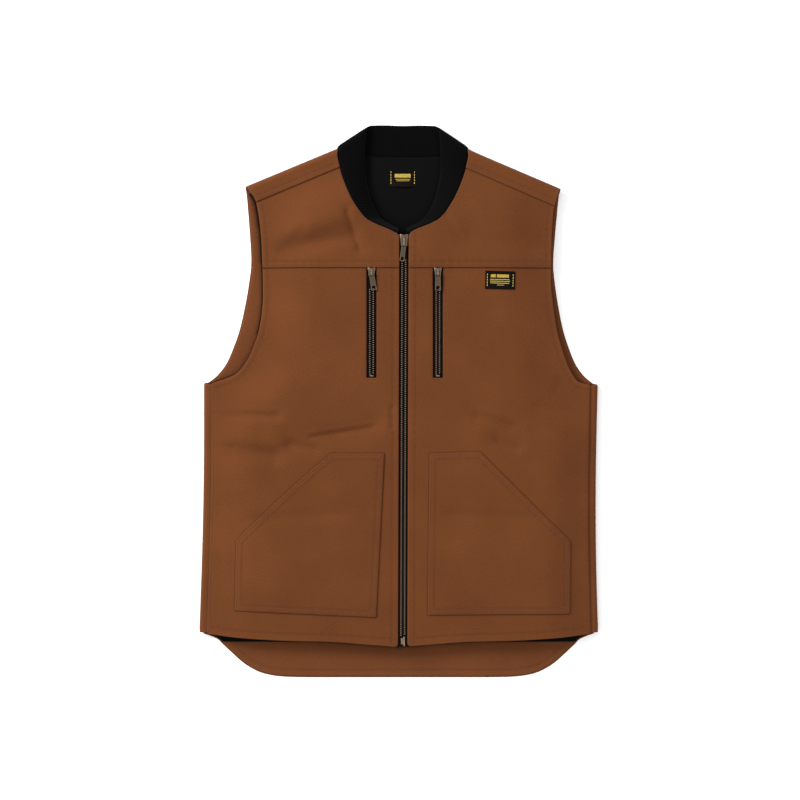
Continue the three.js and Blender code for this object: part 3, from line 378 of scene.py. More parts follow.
def counterclockwise(outline):
    x, y = outline[:, 0], outline[:, 1]
    area = np.sum(x * np.roll(y, -1) - y * np.roll(x, -1))
    return outline if area > 0 else outline[::-1]


def level(y):
    """A level line right across the vest."""
    return np.array([[-0.3, y], [0.3, y]])


def area_of(outline):
    x, y = outline[:, 0], outline[:, 1]
    return abs(np.sum(x * np.roll(y, -1) - y * np.roll(x, -1))) / 2


def inset(outline, distance):
    """A polygon's outline moved inwards, corners kept."""
    p = counterclockwise(outline)
    d = np.roll(p, -1, axis=0) - p
    d /= np.linalg.norm(d, axis=1)[:, None]
    normals = np.stack([-d[:, 1], d[:, 0]], axis=1)
    before = np.roll(normals, 1, axis=0)
    bisector = normals + before
    bisector /= np.linalg.norm(bisector, axis=1)[:, None]
    return p + bisector * (distance / np.sum(bisector * normals, axis=1))[:, None]


def rounded(outline, corner, radius):
    """The outline with the vertex nearest to a corner rounded off."""
    at = int(np.argmin(np.linalg.norm(outline - np.asarray(corner), axis=1)))
    p = np.roll(outline, -at, axis=0)
    ring = closed(p)
    s = arcs(ring)
    first, last = along(ring, [radius, s[-1] - radius])
    t = np.linspace(0.0, 1.0, 7)[:, None]
    arc = (1 - t) ** 2 * last + 2 * t * (1 - t) * p[0] + t**2 * first
    return np.vstack([arc, ring[(s > radius * 1.02) & (s < s[-1] - radius * 1.02)]])


def runs_inside(line, outline, margin, step=0.001):
    """The stretches of a line that lie inside an outline, clear of its edge."""
    points = divided(line, step)
    good = inside(points, outline)
    good &= nearest(points, closed(outline))[0] > margin
    runs = []
    start = None
    for i, ok in enumerate(good):
        if ok and start is None:
            start = i
        if start is not None and (not ok or i == len(good) - 1):
            if i - start > 5:
                runs.append(points[start:i])
            start = None
    return runs


class Pattern:
    """The vest's pattern lines and the height of its front, from the sizes."""

    def __init__(self, sizes):
        self.size = sizes
        s = sizes
        self.length = s.tail_drop + s.side_length + s.armhole_depth + s.shoulder_rise + s.collar_rise
        self.tail_y = -self.length / 2
        self.hem_y = self.tail_y + s.tail_drop
        self.tail_foot = self.hem_y - TAIL[-1][0] * s.tail_drop
        self.pit_y = self.hem_y + s.side_length
        self.tip_y = self.pit_y + s.armhole_depth
        self.neck_y = self.tip_y + s.shoulder_rise
        self.chest_y = self.tip_y - s.yoke_depth
        self.zip_top = self.neck_y - s.neck_drop
        self.half_chest = s.chest_width / 2
        self.half_hem = s.hem_width / 2
        self.half_shoulder = s.shoulder_span / 2
        self.half_neck = s.neck_width / 2
        self.layer = s.canvas + s.gap
        self.edge_lift = s.side_fold + s.gap + s.canvas / 2
        self.side_radius = s.side_fold / 2
        self.shoulder_radius = (self.edge_lift + 2 * self.layer + s.canvas / 2) / 2
        self.inner_z = s.canvas + s.gap
        self.shoulder_top = np.array([self.half_neck, self.neck_y])
        self.shoulder_tip = np.array([self.half_shoulder, self.tip_y])
        held = []
        for name in SIDES:
            held.append((self.side(name, self.side_line(0.0)), 0.0, 0.0))
            held.append((self.side(name, self.shoulder_line(0.0)), self.shoulder_radius, 0.0))
            held.append((self.side(name, self.armhole(name, per=2)), 0.0, 0.12))
        hem = self.front_hem()
        held.append((np.vstack([self.side("left", hem), self.side("right", hem)[::-1]]), 0.0, 0.6))
        self.held = held
        self.folds = [
            (self.share_line(f.x1, f.y1, f.x2, f.y2), f.width * s.puff_reach, f.depth * s.puff)
            for f in FOLDS
        ]
        self.creases = [
            (self.share_line(c.x1, c.y1, c.x2, c.y2), c.width, c.depth, c.skew)
            for c in CREASES
        ]
        draw = np.random.default_rng(7)
        angle = draw.uniform(0.0, math.pi, 14)
        wave = draw.uniform(0.045, 0.16, 14)
        self.waves = np.stack([np.cos(angle) / wave, np.sin(angle) / wave], axis=1) * 2 * math.pi
        self.phases = draw.uniform(0.0, 2 * math.pi, 14)
        self.heights = 0.00016 * wave / 0.1

    def share_line(self, x1, y1, x2, y2):
        """A line between two points given as shares of the half chest and of the length."""
        high = self.neck_y - self.hem_y
        return np.array([
            [x1 * self.half_chest, self.hem_y + y1 * high],
            [x2 * self.half_chest, self.hem_y + y2 * high],
        ])

    def laid(self, points):
        """The vest lies a little askew: it leans above the waist and turns slightly."""
        rise = smooth((points[:, 1] - self.hem_y) / (self.neck_y - self.hem_y))
        x = points[:, 0] + self.size.lay_lean * rise
        y = points[:, 1] - LAY_TURN * points[:, 0] * rise
        return np.stack([x, y], axis=1)

    def side(self, name, points):
        """A line of the right half, placed on either half of the laid vest."""
        if name == "right":
            return self.laid(points)
        return self.laid(points[::-1] * np.array([-1.0, 1.0]))

    def side_half(self, y):
        share = np.clip((self.pit_y - y) / self.size.side_length, 0.0, 1.0)
        half = self.half_chest + (self.half_hem - self.half_chest) * share
        return half - self.size.waist_dip * np.sin(math.pi * share)

    def side_line(self, inset_by, count=30):
        y = np.linspace(self.pit_y, self.hem_y, count)
        return np.stack([self.side_half(y) - inset_by, y], axis=1)

    def armhole(self, column, per=6):
        rows = [
            (
                self.half_shoulder + row[column] * (self.half_chest - self.half_shoulder),
                self.tip_y - row["down"] * self.size.armhole_depth,
            )
            for row in ARMHOLE
        ]
        return spline(rows, per)

    def tail(self):
        rows = [(out * self.half_hem, self.hem_y - down * self.size.tail_drop) for down, out in TAIL]
        return spline(rows, 10)

    def front_hem(self):
        rows = [(out * self.half_hem, self.hem_y - down * self.size.hem_drop) for out, down in FRONT_HEM]
        return spline(rows, 6)

    def neck_point(self, pair):
        return (pair[1] * self.half_neck, self.neck_y - pair[0] * self.size.neck_drop)

    def neck_rows(self, key):
        return np.array([self.neck_point(row[key]) for row in COLLAR])

    def front_neck(self):
        """The front neckline, from the shoulder to the zip."""
        return spline(self.neck_rows("seam")[:FOLD_ROW][::-1], 8)

    def back_neck(self):
        """The back neck seam, from the middle to the shoulder."""
        return spline(self.neck_rows("seam")[FOLD_ROW:][::-1], 8)

    def shoulder_line(self, inset_by):
        return shifted(np.array([self.shoulder_top, self.shoulder_tip]), -inset_by)

    def below_shoulder(self, line, inset_by):
        """The stretch of a line that lies below the shoulder's fold by a distance."""
        a, b = self.shoulder_line(inset_by)
        normal = np.array([b[1] - a[1], a[0] - b[0]])
        depth = (line - a) @ normal
        first = int(np.argmax(depth > 0))
        if first == 0:
            return line
        share = depth[first - 1] / (depth[first - 1] - depth[first])
        cross = line[first - 1] + (line[first] - line[first - 1]) * share
        return np.vstack([cross[None], line[first:]])

    def zip_x(self, y):
        share = (y - self.hem_y) / (self.zip_top - self.hem_y)
        return ZIP_FOOT_X + (ZIP_TOP_X - ZIP_FOOT_X) * share

    def front_outline(self, name):
        """One front: neckline, shoulder, armhole, side seam and hem."""
        neck = self.below_shoulder(self.front_neck(), self.size.shoulder_lap - self.size.yoke_lap)
        seam = self.side_line(self.size.side_inset)
        armhole = self.below_shoulder(self.armhole(name), self.size.shoulder_lap - self.size.yoke_lap)
        armhole = armhole[armhole[:, 0] < seam[0, 0]]
        seam[:, 1] = np.minimum(seam[:, 1], armhole[-1, 1])
        hem = self.front_hem()
        hem = hem[hem[:, 0] < self.half_hem - self.size.side_inset]
        half = np.vstack([[[0.0, neck[-1, 1]]], neck[::-1], armhole, seam, hem])
        keep = np.concatenate([[True], np.linalg.norm(np.diff(half, axis=0), axis=1) > 1e-6])
        return counterclockwise(self.side(name, half[keep]))

    def beyond_zip(self, outline, name, opening):
        foot = np.array([self.zip_x(self.hem_y), self.hem_y])
        top = np.array([self.zip_x(self.zip_top), self.zip_top])
        d = top - foot
        normal = np.array([d[1], -d[0]]) / np.linalg.norm(d) * SIGN[name]
        return clipped(outline, foot + normal * opening / 2, normal)

    def swell(self, points):
        reach = self.size.puff_reach
        result = np.ones(len(points))
        for line, start, least in self.held:
            d = nearest(points, line)[0] - start
            result *= least + (1.0 - least) * smooth(d / reach)
        return result

    def front(self, points):
        """Height of the middle of the front canvas."""
        rise = np.full(len(points), self.size.puff)
        for line, wide, depth in self.folds:
            rise += depth * np.exp(-((nearest(points, line)[0] / wide) ** 2))
        for line, wide, depth, skew in self.creases:
            d = nearest(points, line)[0] / wide
            along_line = line[1] - line[0]
            offset = points - line[0]
            across = along_line[0] * offset[:, 1] - along_line[1] * offset[:, 0]
            across /= np.linalg.norm(along_line) * wide
            rise += (depth + skew * 2.0 * across) * np.exp(-(d**2))
        rise += np.sin(points @ self.waves.T + self.phases) @ self.heights
        return self.edge_lift + self.swell(points) * rise


# Meshes.
def object_from(name, vertices, faces, uv=None, masks=None):
    """A smooth object at the origin, with a flat pattern as its UV map and named masks."""
    mesh = bpy.data.meshes.new(name)
    mesh.from_pydata(np.asarray(vertices).tolist(), [], faces)
    mesh.validate()
    mesh.polygons.foreach_set("use_smooth", [True] * len(mesh.polygons))
    if uv is not None:
        layer = mesh.uv_layers.new(name="UVMap")
        index = np.zeros(len(mesh.loops), np.int32)
        mesh.loops.foreach_get("vertex_index", index)
        layer.data.foreach_set("uv", np.asarray(uv)[index].ravel())
    for key, values in (masks or {}).items():
        attribute = mesh.attributes.new(key, "FLOAT", "POINT")
        attribute.data.foreach_set("value", np.asarray(values, np.float32))
    mesh.update()
    piece = bpy.data.objects.new(name, mesh)
    bpy.context.collection.objects.link(piece)
    return piece


def net_of(outline, step, lines=(), bends=(), rims=(0.0004, 0.0011, 0.0024), rows=(0.0009, 0.0022)):
    """A net of triangles inside an outline, finer along its edge and along the lines, and with
    a row of points along every line of a bend."""
    outline = counterclockwise(outline)
    edge = divided(closed(outline), step * 0.8)[:-1]
    loop = closed(edge)
    groups = []
    for rim in rims:
        ring = shifted(loop, rim)[:-1]
        groups.append((ring, rim * 0.93))
    for line in lines:
        fine = divided(line, step * 0.8)
        for row in (0.0, *rows, *[-r for r in rows]):
            groups.append((shifted(fine, row), rims[-1] + 0.3 * step))
    for line in bends:
        groups.append((divided(line, step * 0.8), rims[-1] + 0.3 * step))
    points = [edge]
    for group, clear in groups:
        good = inside(group, edge) & (nearest(group, loop)[0] > clear)
        points.append(group[good])
    low, high = edge.min(axis=0), edge.max(axis=0)
    xs = np.arange(low[0], high[0], step)
    ys = np.arange(low[1], high[1], step * math.sqrt(3) / 2)
    grid = np.array([(x + (step / 2 if j % 2 else 0.0), y) for j, y in enumerate(ys) for x in xs])
    grid = grid[inside(grid, edge)]
    grid = grid[nearest(grid, loop)[0] > rims[-1] + 0.5 * step]
    for line in lines:
        grid = grid[nearest(grid, line)[0] > rows[-1] + 0.4 * step]
    for line in bends:
        grid = grid[nearest(grid, line)[0] > 0.5 * step]
    points = np.vstack(points + [grid]) * 1000.0
    flat, _, faces, origins, _, _ = delaunay_2d_cdt(
        [Vector(p) for p in points.tolist()], [], [list(range(len(edge)))], 1, 1e-4
    )
    flat = np.array([tuple(p) for p in flat]) / 1000.0
    on_edge = np.array([any(k < len(edge) for k in origin) for origin in origins])
    return flat, np.array(faces), on_edge, edge


def cloth(name, outline, place, thick, lines=(), relief=None, step=None, shadows=(), bends=()):
    """A sheet of cloth with rounded edges. place(points, k) gives the surface from -1 to 1
    through the cloth, 1 being its right side, and relief is added on the right side. Shadows
    are lines, each with a width and a strength, along which a shadow is painted into the
    cloth's colour under an edge."""
    step = step or bpy.context.scene.vest_sizes.net
    near = [run for line, width, _ in shadows for run in runs_inside(line, outline, 0.001)]
    flat, faces, on_edge, edge = net_of(outline, step, [*lines, *near], bends)
    d = nearest(flat, closed(edge))[0]
    radius = thick * 0.8
    share = np.sqrt(1.0 - (1.0 - np.clip(d / radius, 0.0, 1.0)) ** 2)
    share[on_edge] = 0.0
    extra = relief(flat, d) * np.clip(d / radius, 0.0, 1.0) if relief else 0.0
    upper = place(flat, share + 2.0 * extra / thick)
    lower = place(flat, -share)
    count = len(flat)
    under = np.where(on_edge, np.arange(count), 0)
    under[~on_edge] = count + np.arange(int(np.sum(~on_edge)))
    vertices = np.vstack([upper, lower[~on_edge]])
    back = under[faces][:, ::-1]
    # Seam: painted shade along the stitch lines, darkening their grooves.
    seam = np.zeros(count)
    for line in lines:
        seam = np.maximum(seam, np.exp(-((nearest(flat, line)[0] / 0.0013) ** 2)))
    # Shade: shadow painted into the colour along the lines of shadows, under an edge.
    shade = np.zeros(len(vertices))
    for line, width, strength in shadows:
        distance = nearest(vertices[:, :2], line)[0]
        shade = np.maximum(shade, strength * np.exp(-((distance / width) ** 2)))
    # Rim: lighter towards the edge, partly as wear and partly as a painted highlight on the rounded edge.
    masks = {
        "shade": shade,
        "seam": np.concatenate([seam, np.zeros(len(vertices) - count)]),
        "rim": np.concatenate([np.exp(-d / 0.0022), np.exp(-d[~on_edge] / 0.0022)]),
    }
    uv = np.vstack([flat, flat[~on_edge]])
    faces = np.vstack([faces, back])
    centre = vertices[faces]
    volume = np.sum(centre[:, 0] * np.cross(centre[:, 1], centre[:, 2]))
    if volume < 0:
        faces = faces[:, ::-1]
    return object_from(name, vertices, faces.tolist(), uv, masks)


def seam_relief(lines, groove=0.00016, pucker=0.00016, ridge=0.0001, inset_by=0.0045):
    """Grooves along stitch lines, small puckers across them and a ridge along the edge."""
    def relief(points, edge_distance):
        result = ridge * np.exp(-(((edge_distance - inset_by) / 0.003) ** 2))
        for k, line in enumerate(lines):
            d, s = nearest(points, line)
            near = np.exp(-((d / 0.0075) ** 2))
            wave = np.sin(s / 0.0019 + 1.7 * np.sin(s / 0.013 + k)) * (0.6 + 0.4 * np.sin(s / 0.037 + 2 * k))
            result += pucker * near * wave - groove * np.exp(-((d / 0.001) ** 2))
        return result
    return relief


def stitching(name, runs, place, pitch=0.003, fill=0.74, radius=0.00026):
    """Sewing thread along lines: one small round stitch after the other, its ends sunk in."""
    sides = 5
    rings = ((0.14, 0.75, 0.1), (0.5, 1.0, 0.45), (0.86, 0.75, 0.1))
    vertices, faces = [], []
    angles = np.arange(sides) / sides * 2 * math.pi
    for line in runs:
        total = arcs(line)[-1]
        count = int(total / pitch)
        if count < 1:
            continue
        start = (np.arange(count) + (1 - fill) / 2) * total / count
        a2, b2 = along(line, start), along(line, start + fill * total / count)
        a, b = place(a2, 1.0), place(b2, 1.0)
        up = place((a2 + b2) / 2, 1.0) - place((a2 + b2) / 2, 0.0)
        up /= np.linalg.norm(up, axis=1)[:, None]
        d = b - a
        d /= np.linalg.norm(d, axis=1)[:, None]
        across = np.cross(up, d)
        blocks = [(a - 0.7 * radius * up)[:, None]]
        for share, wide, lift in rings:
            middle = a + (b - a) * share + up * radius * lift
            ring = [middle + radius * wide * (np.cos(t) * across + np.sin(t) * up) for t in angles]
            blocks.append(np.stack(ring, axis=1))
        blocks.append((b - 0.7 * radius * up)[:, None])
        block = np.concatenate(blocks, axis=1)
        size = block.shape[1]
        base = sum(len(v) for v in vertices)
        vertices.append(block.reshape(-1, 3))
        template = []
        for k in range(sides):
            n = (k + 1) % sides
            template.append((0, 1 + n, 1 + k))
            for ring in range(len(rings) - 1):
                q = 1 + ring * sides
                template.append((q + k, q + n, q + n + sides))
                template.append((q + k, q + n + sides, q + k + sides))
            q = 1 + (len(rings) - 1) * sides
            template.append((q + k, q + n, size - 1))
        template = np.array(template)
        starts = base + size * np.arange(count)
        faces.append((template[None] + starts[:, None, None]).reshape(-1, 3))
    return object_from(name, np.vstack(vertices), np.vstack(faces).tolist())


# Materials. Cloth reads its own UV map, which is its flat pattern in metres.
def socket(group, name, kind, way, default=None):
    item = group.interface.new_socket(name=name, in_out=way, socket_type=kind)
    if default is not None:
        item.default_value = default
    return item


def weave_group():
    """Height and shade of a woven cloth, from its thread pitch."""
    name = "Woven threads"
    if name in bpy.data.node_groups:
        return bpy.data.node_groups[name]
    group = bpy.data.node_groups.new(name, "ShaderNodeTree")
    socket(group, "Vector", "NodeSocketVector", "INPUT")
    socket(group, "Threads per metre", "NodeSocketFloat", "INPUT", 1200.0)
    socket(group, "Unevenness", "NodeSocketFloat", "INPUT", 0.3)
    socket(group, "Height", "NodeSocketFloat", "OUTPUT")
    socket(group, "Shade", "NodeSocketFloat", "OUTPUT")
    nodes, links = group.nodes, group.links
    entry = nodes.new("NodeGroupInput")
    leave = nodes.new("NodeGroupOutput")
    split = nodes.new("ShaderNodeSeparateXYZ")
    wobble = nodes.new("ShaderNodeTexNoise")
    wobble.inputs["Scale"].default_value = 260.0
    wobble.inputs["Detail"].default_value = 3.0
    links.new(entry.outputs["Vector"], wobble.inputs["Vector"])
    links.new(entry.outputs["Vector"], split.inputs[0])

    def math_node(kind, a, b=None):
        node = nodes.new("ShaderNodeMath")
        node.operation = kind
        for value, slot in ((a, 0), (b, 1)):
            if value is None:
                continue
            if isinstance(value, float):
                node.inputs[slot].default_value = value
            else:
                links.new(value, node.inputs[slot])
        return node.outputs[0]

    turn = math_node("MULTIPLY", entry.outputs["Threads per metre"], math.pi)
    drift = math_node("MULTIPLY", wobble.outputs["Fac"], entry.outputs["Unevenness"])
    drift = math_node("MULTIPLY", drift, 6.0)
    warp = math_node("SINE", math_node("ADD", math_node("MULTIPLY", split.outputs[0], turn), drift))
    weft = math_node("SINE", math_node("ADD", math_node("MULTIPLY", split.outputs[1], turn), drift))
    product = math_node("MULTIPLY", warp, weft)
    height = math_node("ADD", math_node("MULTIPLY", product, 0.5), 0.5)
    uneven = math_node("MULTIPLY", wobble.outputs["Fac"], 0.5)
    shade = math_node("ADD", math_node("MULTIPLY", height, 0.5), uneven)
    links.new(height, leave.inputs["Height"])
    links.new(shade, leave.inputs["Shade"])
    return group


def mottle_group():
    """Soft uneven tone of dyed cloth: broad clouds and fine fibre."""
    name = "Uneven dye"
    if name in bpy.data.node_groups:
        return bpy.data.node_groups[name]
    group = bpy.data.node_groups.new(name, "ShaderNodeTree")
    socket(group, "Vector", "NodeSocketVector", "INPUT")
    socket(group, "Colour", "NodeSocketColor", "INPUT")
    socket(group, "Amount", "NodeSocketFloat", "INPUT", 0.15)
    socket(group, "Colour", "NodeSocketColor", "OUTPUT")
    nodes, links = group.nodes, group.links
    entry = nodes.new("NodeGroupInput")
    leave = nodes.new("NodeGroupOutput")
    tones = []
    for scale, detail in ((13.0, 4.0), (420.0, 2.0)):
        noise = nodes.new("ShaderNodeTexNoise")
        noise.inputs["Scale"].default_value = scale
        noise.inputs["Detail"].default_value = detail
        links.new(entry.outputs["Vector"], noise.inputs["Vector"])
        tones.append(noise.outputs["Fac"])
    total = nodes.new("ShaderNodeMath")
    total.operation = "ADD"
    links.new(tones[0], total.inputs[0])
    links.new(tones[1], total.inputs[1])
    centred = nodes.new("ShaderNodeMath")
    centred.operation = "SUBTRACT"
    links.new(total.outputs[0], centred.inputs[0])
    centred.inputs[1].default_value = 1.0
    scaled = nodes.new("ShaderNodeMath")
    scaled.operation = "MULTIPLY_ADD"
    links.new(centred.outputs[0], scaled.inputs[0])
    links.new(entry.outputs["Amount"], scaled.inputs[1])
    scaled.inputs[2].default_value = 1.0
    tint = nodes.new("ShaderNodeVectorMath")
    tint.operation = "SCALE"
    links.new(entry.outputs["Colour"], tint.inputs[0])
    links.new(scaled.outputs[0], tint.inputs["Scale"])
    links.new(tint.outputs[0], leave.inputs["Colour"])
    return group


def new_material(name):
    material = bpy.data.materials.new(name)
    material.use_nodes = True
    nodes = material.node_tree.nodes
    return material, nodes, material.node_tree.links, nodes["Principled BSDF"]


def cloth_material(name, colour, threads, bump, rough, gloss=0.05, rim_tone=1.12):
    """A woven cloth: uneven dye, threads as bump, painted shade in the seams, rims lighter partly
    from wear and partly as a painted highlight, and painted shadow under edges.
    """
    if name in bpy.data.materials:
        return bpy.data.materials[name]
    material, nodes, links, shader = new_material(name)
    coords = nodes.new("ShaderNodeUVMap")
    coords.uv_map = "UVMap"
    dye = nodes.new("ShaderNodeGroup")
    dye.node_tree = mottle_group()
    dye.inputs["Colour"].default_value = (*colour, 1.0)
    dye.inputs["Amount"].default_value = 0.42
    links.new(coords.outputs[0], dye.inputs["Vector"])
    weave = nodes.new("ShaderNodeGroup")
    weave.node_tree = weave_group()
    weave.inputs["Threads per metre"].default_value = threads
    links.new(coords.outputs[0], weave.inputs["Vector"])
    last = dye.outputs["Colour"]
    # Masks multiply the colour: seam paints shade in the stitch grooves, rim lightens the edges as wear and a
    # painted highlight, shade paints shadow under overlapping edges.
    for source, tone in (("seam", 0.88), ("rim", rim_tone), ("shade", 0.06)):
        mask = nodes.new("ShaderNodeAttribute")
        mask.attribute_name = source
        mixed = nodes.new("ShaderNodeMix")
        mixed.data_type = "RGBA"
        mixed.blend_type = "MULTIPLY"
        mixed.inputs["B"].default_value = (tone, tone, tone, 1.0)
        mixed.clamp_result = False
        links.new(mask.outputs["Fac"], mixed.inputs["Factor"])
        links.new(last, mixed.inputs["A"])
        last = mixed.outputs["Result"]
    shade = nodes.new("ShaderNodeMapRange")
    shade.inputs["To Min"].default_value = 0.9
    shade.inputs["To Max"].default_value = 1.08
    links.new(weave.outputs["Shade"], shade.inputs["Value"])
    tint = nodes.new("ShaderNodeVectorMath")
    tint.operation = "SCALE"
    links.new(last, tint.inputs[0])
    links.new(shade.outputs[0], tint.inputs["Scale"])
    links.new(tint.outputs[0], shader.inputs["Base Color"])
    relief = nodes.new("ShaderNodeBump")
    relief.inputs["Strength"].default_value = 0.5
    relief.inputs["Distance"].default_value = bump
    links.new(weave.outputs["Height"], relief.inputs["Height"])
    links.new(relief.outputs[0], shader.inputs["Normal"])
    shader.inputs["Roughness"].default_value = rough
    shader.inputs["Sheen Weight"].default_value = gloss * 0.7
    shader.inputs["Sheen Roughness"].default_value = 0.6
    shader.inputs["Specular IOR Level"].default_value = gloss
    return material


def thread_material(name, colour):
    """Twisted sewing thread: uneven dye and a fine noise bump."""
    if name in bpy.data.materials:
        return bpy.data.materials[name]
    material, nodes, links, shader = new_material(name)
    coords = nodes.new("ShaderNodeTexCoord")
    noise = nodes.new("ShaderNodeTexNoise")
    noise.inputs["Scale"].default_value = 900.0
    links.new(coords.outputs["Object"], noise.inputs["Vector"])
    dye = nodes.new("ShaderNodeGroup")
    dye.node_tree = mottle_group()
    dye.inputs["Colour"].default_value = (*colour, 1.0)
    dye.inputs["Amount"].default_value = 0.5
    links.new(coords.outputs["Object"], dye.inputs["Vector"])
    links.new(dye.outputs["Colour"], shader.inputs["Base Color"])
    relief = nodes.new("ShaderNodeBump")
    relief.inputs["Strength"].default_value = 0.4
    relief.inputs["Distance"].default_value = 0.0001
    links.new(noise.outputs["Fac"], relief.inputs["Height"])
    links.new(relief.outputs[0], shader.inputs["Normal"])
    shader.inputs["Roughness"].default_value = 0.7
    return material


def metal_material(name, colour, hollow=0.45, edge=2.1):
    """Antique brass: dark in its hollows, brighter at its edges, partly where it is rubbed and partly as a
    painted highlight.
    """
    if name in bpy.data.materials:
        return bpy.data.materials[name]
    material, nodes, links, shader = new_material(name)
    coords = nodes.new("ShaderNodeTexCoord")
    noise = nodes.new("ShaderNodeTexNoise")
    noise.inputs["Scale"].default_value = 700.0
    noise.inputs["Detail"].default_value = 4.0
    links.new(coords.outputs["Object"], noise.inputs["Vector"])
    shape = nodes.new("ShaderNodeNewGeometry")
    # Brighter at the edges: partly rubbed metal, partly a painted highlight.
    rubbed_and_highlit = nodes.new("ShaderNodeMapRange")
    rubbed_and_highlit.inputs["From Min"].default_value = 0.49
    rubbed_and_highlit.inputs["From Max"].default_value = 0.62
    links.new(shape.outputs["Pointiness"], rubbed_and_highlit.inputs["Value"])
    mixed = nodes.new("ShaderNodeMix")
    mixed.data_type = "RGBA"
    mixed.inputs["A"].default_value = (*[c * hollow for c in colour], 1.0)
    mixed.inputs["B"].default_value = (*[min(1.0, c * edge) for c in colour], 1.0)
    links.new(rubbed_and_highlit.outputs[0], mixed.inputs["Factor"])
    links.new(mixed.outputs["Result"], shader.inputs["Base Color"])
    rough = nodes.new("ShaderNodeMapRange")
    rough.inputs["To Min"].default_value = 0.28
    rough.inputs["To Max"].default_value = 0.5
    links.new(noise.outputs["Fac"], rough.inputs["Value"])
    links.new(rough.outputs[0], shader.inputs["Roughness"])
    relief = nodes.new("ShaderNodeBump")
    relief.inputs["Strength"].default_value = 0.25
    relief.inputs["Distance"].default_value = 0.0001
    links.new(noise.outputs["Fac"], relief.inputs["Height"])
    links.new(relief.outputs[0], shader.inputs["Normal"])
    shader.inputs["Metallic"].default_value = 0.9
    return material


def colours():
    return bpy.context.scene.vest_colours


def canvas_material():
    return cloth_material("Brown duck canvas", colours().canvas, 1250.0, 0.00022, 0.86)


def facing_material():
    return cloth_material("Inside of the canvas", colours().facing, 1250.0, 0.00022, 0.9)


def lining_material():
    return cloth_material("Black lining", colours().lining, 1800.0, 0.0001, 0.6, gloss=0.022, rim_tone=1.0)


def tape_material():
    return cloth_material("Zip tape", colours().tape, 1500.0, 0.0002, 0.8, gloss=0.02)


def finish_piece(piece, material, slot_name, body, *nodes):
    """Gives a piece its material and its body, and hides the model's parts that it stands for."""
    piece.data.materials.clear()
    piece.data.materials.append(material)
    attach(piece, body)
    if nodes:
        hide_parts(*nodes)


def declare_cloth(outline, flat=None):
    """Works out the smaller of the outline's area and its width times length, flat being its own width and
    length if it isn't its outline's; the result is not used.
    """
    low, high = outline.min(axis=0), outline.max(axis=0)
    width, length = flat or (float(v) for v in high - low)
    min(area_of(outline), width * length)


def pattern():
    return Pattern(bpy.context.scene.vest_sizes)


def edge_shadows(p):
    """Lines of the front's open edges, under which the back lies in the dark."""
    rows = []
    for name, strength in (("left", 1.0), ("right", 0.35)):
        rows.append((divided(p.side(name, p.armhole(name)), 0.004), 0.0019, strength))
        rows.append((divided(p.side(name, p.front_hem()), 0.004), 0.0026, 0.9))
    edge = p.armhole("left")
    down = (p.tip_y - edge[:, 1]) / p.size.armhole_depth
    # Stretches of the left armhole: from and to as shares of its depth, how far out, and width.
    stretches = (
        (0.0, 0.2, 0.0018, 0.0032),
        (0.1, 0.4, 0.0014, 0.0026),
        (0.3, 0.75, 0.001, 0.002),
    )
    for first, last, out, width in stretches:
        stretch = shifted(edge, out)[(down > first) & (down < last)]
        rows.append((divided(p.side("left", stretch), 0.004), width, 1.0))
    return rows


def front_place(p, lift):
    """Places front cloth at a height above the middle of the front canvas."""
    half = p.size.canvas / 2

    def place(points, k, half=half):
        z = p.front(points) + lift + np.asarray(k) * half
        return np.column_stack([points, z])
    return place


def back_place(p):
    """Bends the back's flat pattern round the side folds. Its right side lies on the floor."""
    t = p.size.canvas
    radius = p.side_radius
    middle = radius - t / 2

    def place(points, k):
        k = np.asarray(k) * t / 2 * np.ones(len(points))
        x, y = points[:, 0], points[:, 1]
        way = np.sign(x)
        tangent = p.side_half(np.minimum(y, p.pit_y)) - radius
        s = np.where(y < p.hem_y - 1e-6, 0.0, np.maximum(np.abs(x) - tangent, 0.0))
        a = np.clip(s / middle, 0.0, math.pi)
        over = np.maximum(s - math.pi * middle, 0.0)
        reach = (middle + k) * np.sin(a)
        out = np.where(s > 0, tangent + reach - over, np.abs(x))
        z = radius - (middle + k) * np.cos(a)
        flat = p.laid(np.stack([way * out, y], axis=1))
        return np.column_stack([flat, z])
    return place


def yoke_place(p):
    """Bends the back yoke's flat pattern over both shoulders and onto the front."""
    t = p.size.canvas
    radius = p.shoulder_radius
    middle = radius - t / 2
    a0, b0 = p.shoulder_line(radius)
    d = (b0 - a0) / np.linalg.norm(b0 - a0)
    outward = np.array([-d[1], d[0]])

    def place(points, k):
        k = np.asarray(k) * t / 2 * np.ones(len(points))
        way = np.where(points[:, 0] < 0, -1.0, 1.0)
        q = np.stack([np.abs(points[:, 0]), points[:, 1]], axis=1)
        s = np.maximum((q - a0) @ outward, 0.0)
        foot = q - s[:, None] * outward
        a = np.clip(s / middle, 0.0, math.pi)
        over = np.maximum(s - math.pi * middle, 0.0)
        shift = (middle + k) * np.sin(a) - over
        bent = foot + shift[:, None] * outward
        bent[:, 0] *= way
        flat = p.laid(bent)
        z = radius - (middle + k) * np.cos(a)
        lip = over > 0
        if np.any(lip):
            rise = p.front(flat[lip]) - p.edge_lift
            z[lip] += rise
        return np.column_stack([flat, z])
    return place


def unfolded(p, line):
    """A line on the front of the shoulder, put back in the yoke's flat pattern."""
    radius = p.shoulder_radius
    middle = radius - p.size.canvas / 2
    a0, b0 = p.shoulder_line(radius)
    d = (b0 - a0) / np.linalg.norm(b0 - a0)
    outward = np.array([-d[1], d[0]])
    depth = -((line - a0) @ outward)
    return line + (depth + depth + math.pi * middle)[:, None] * outward


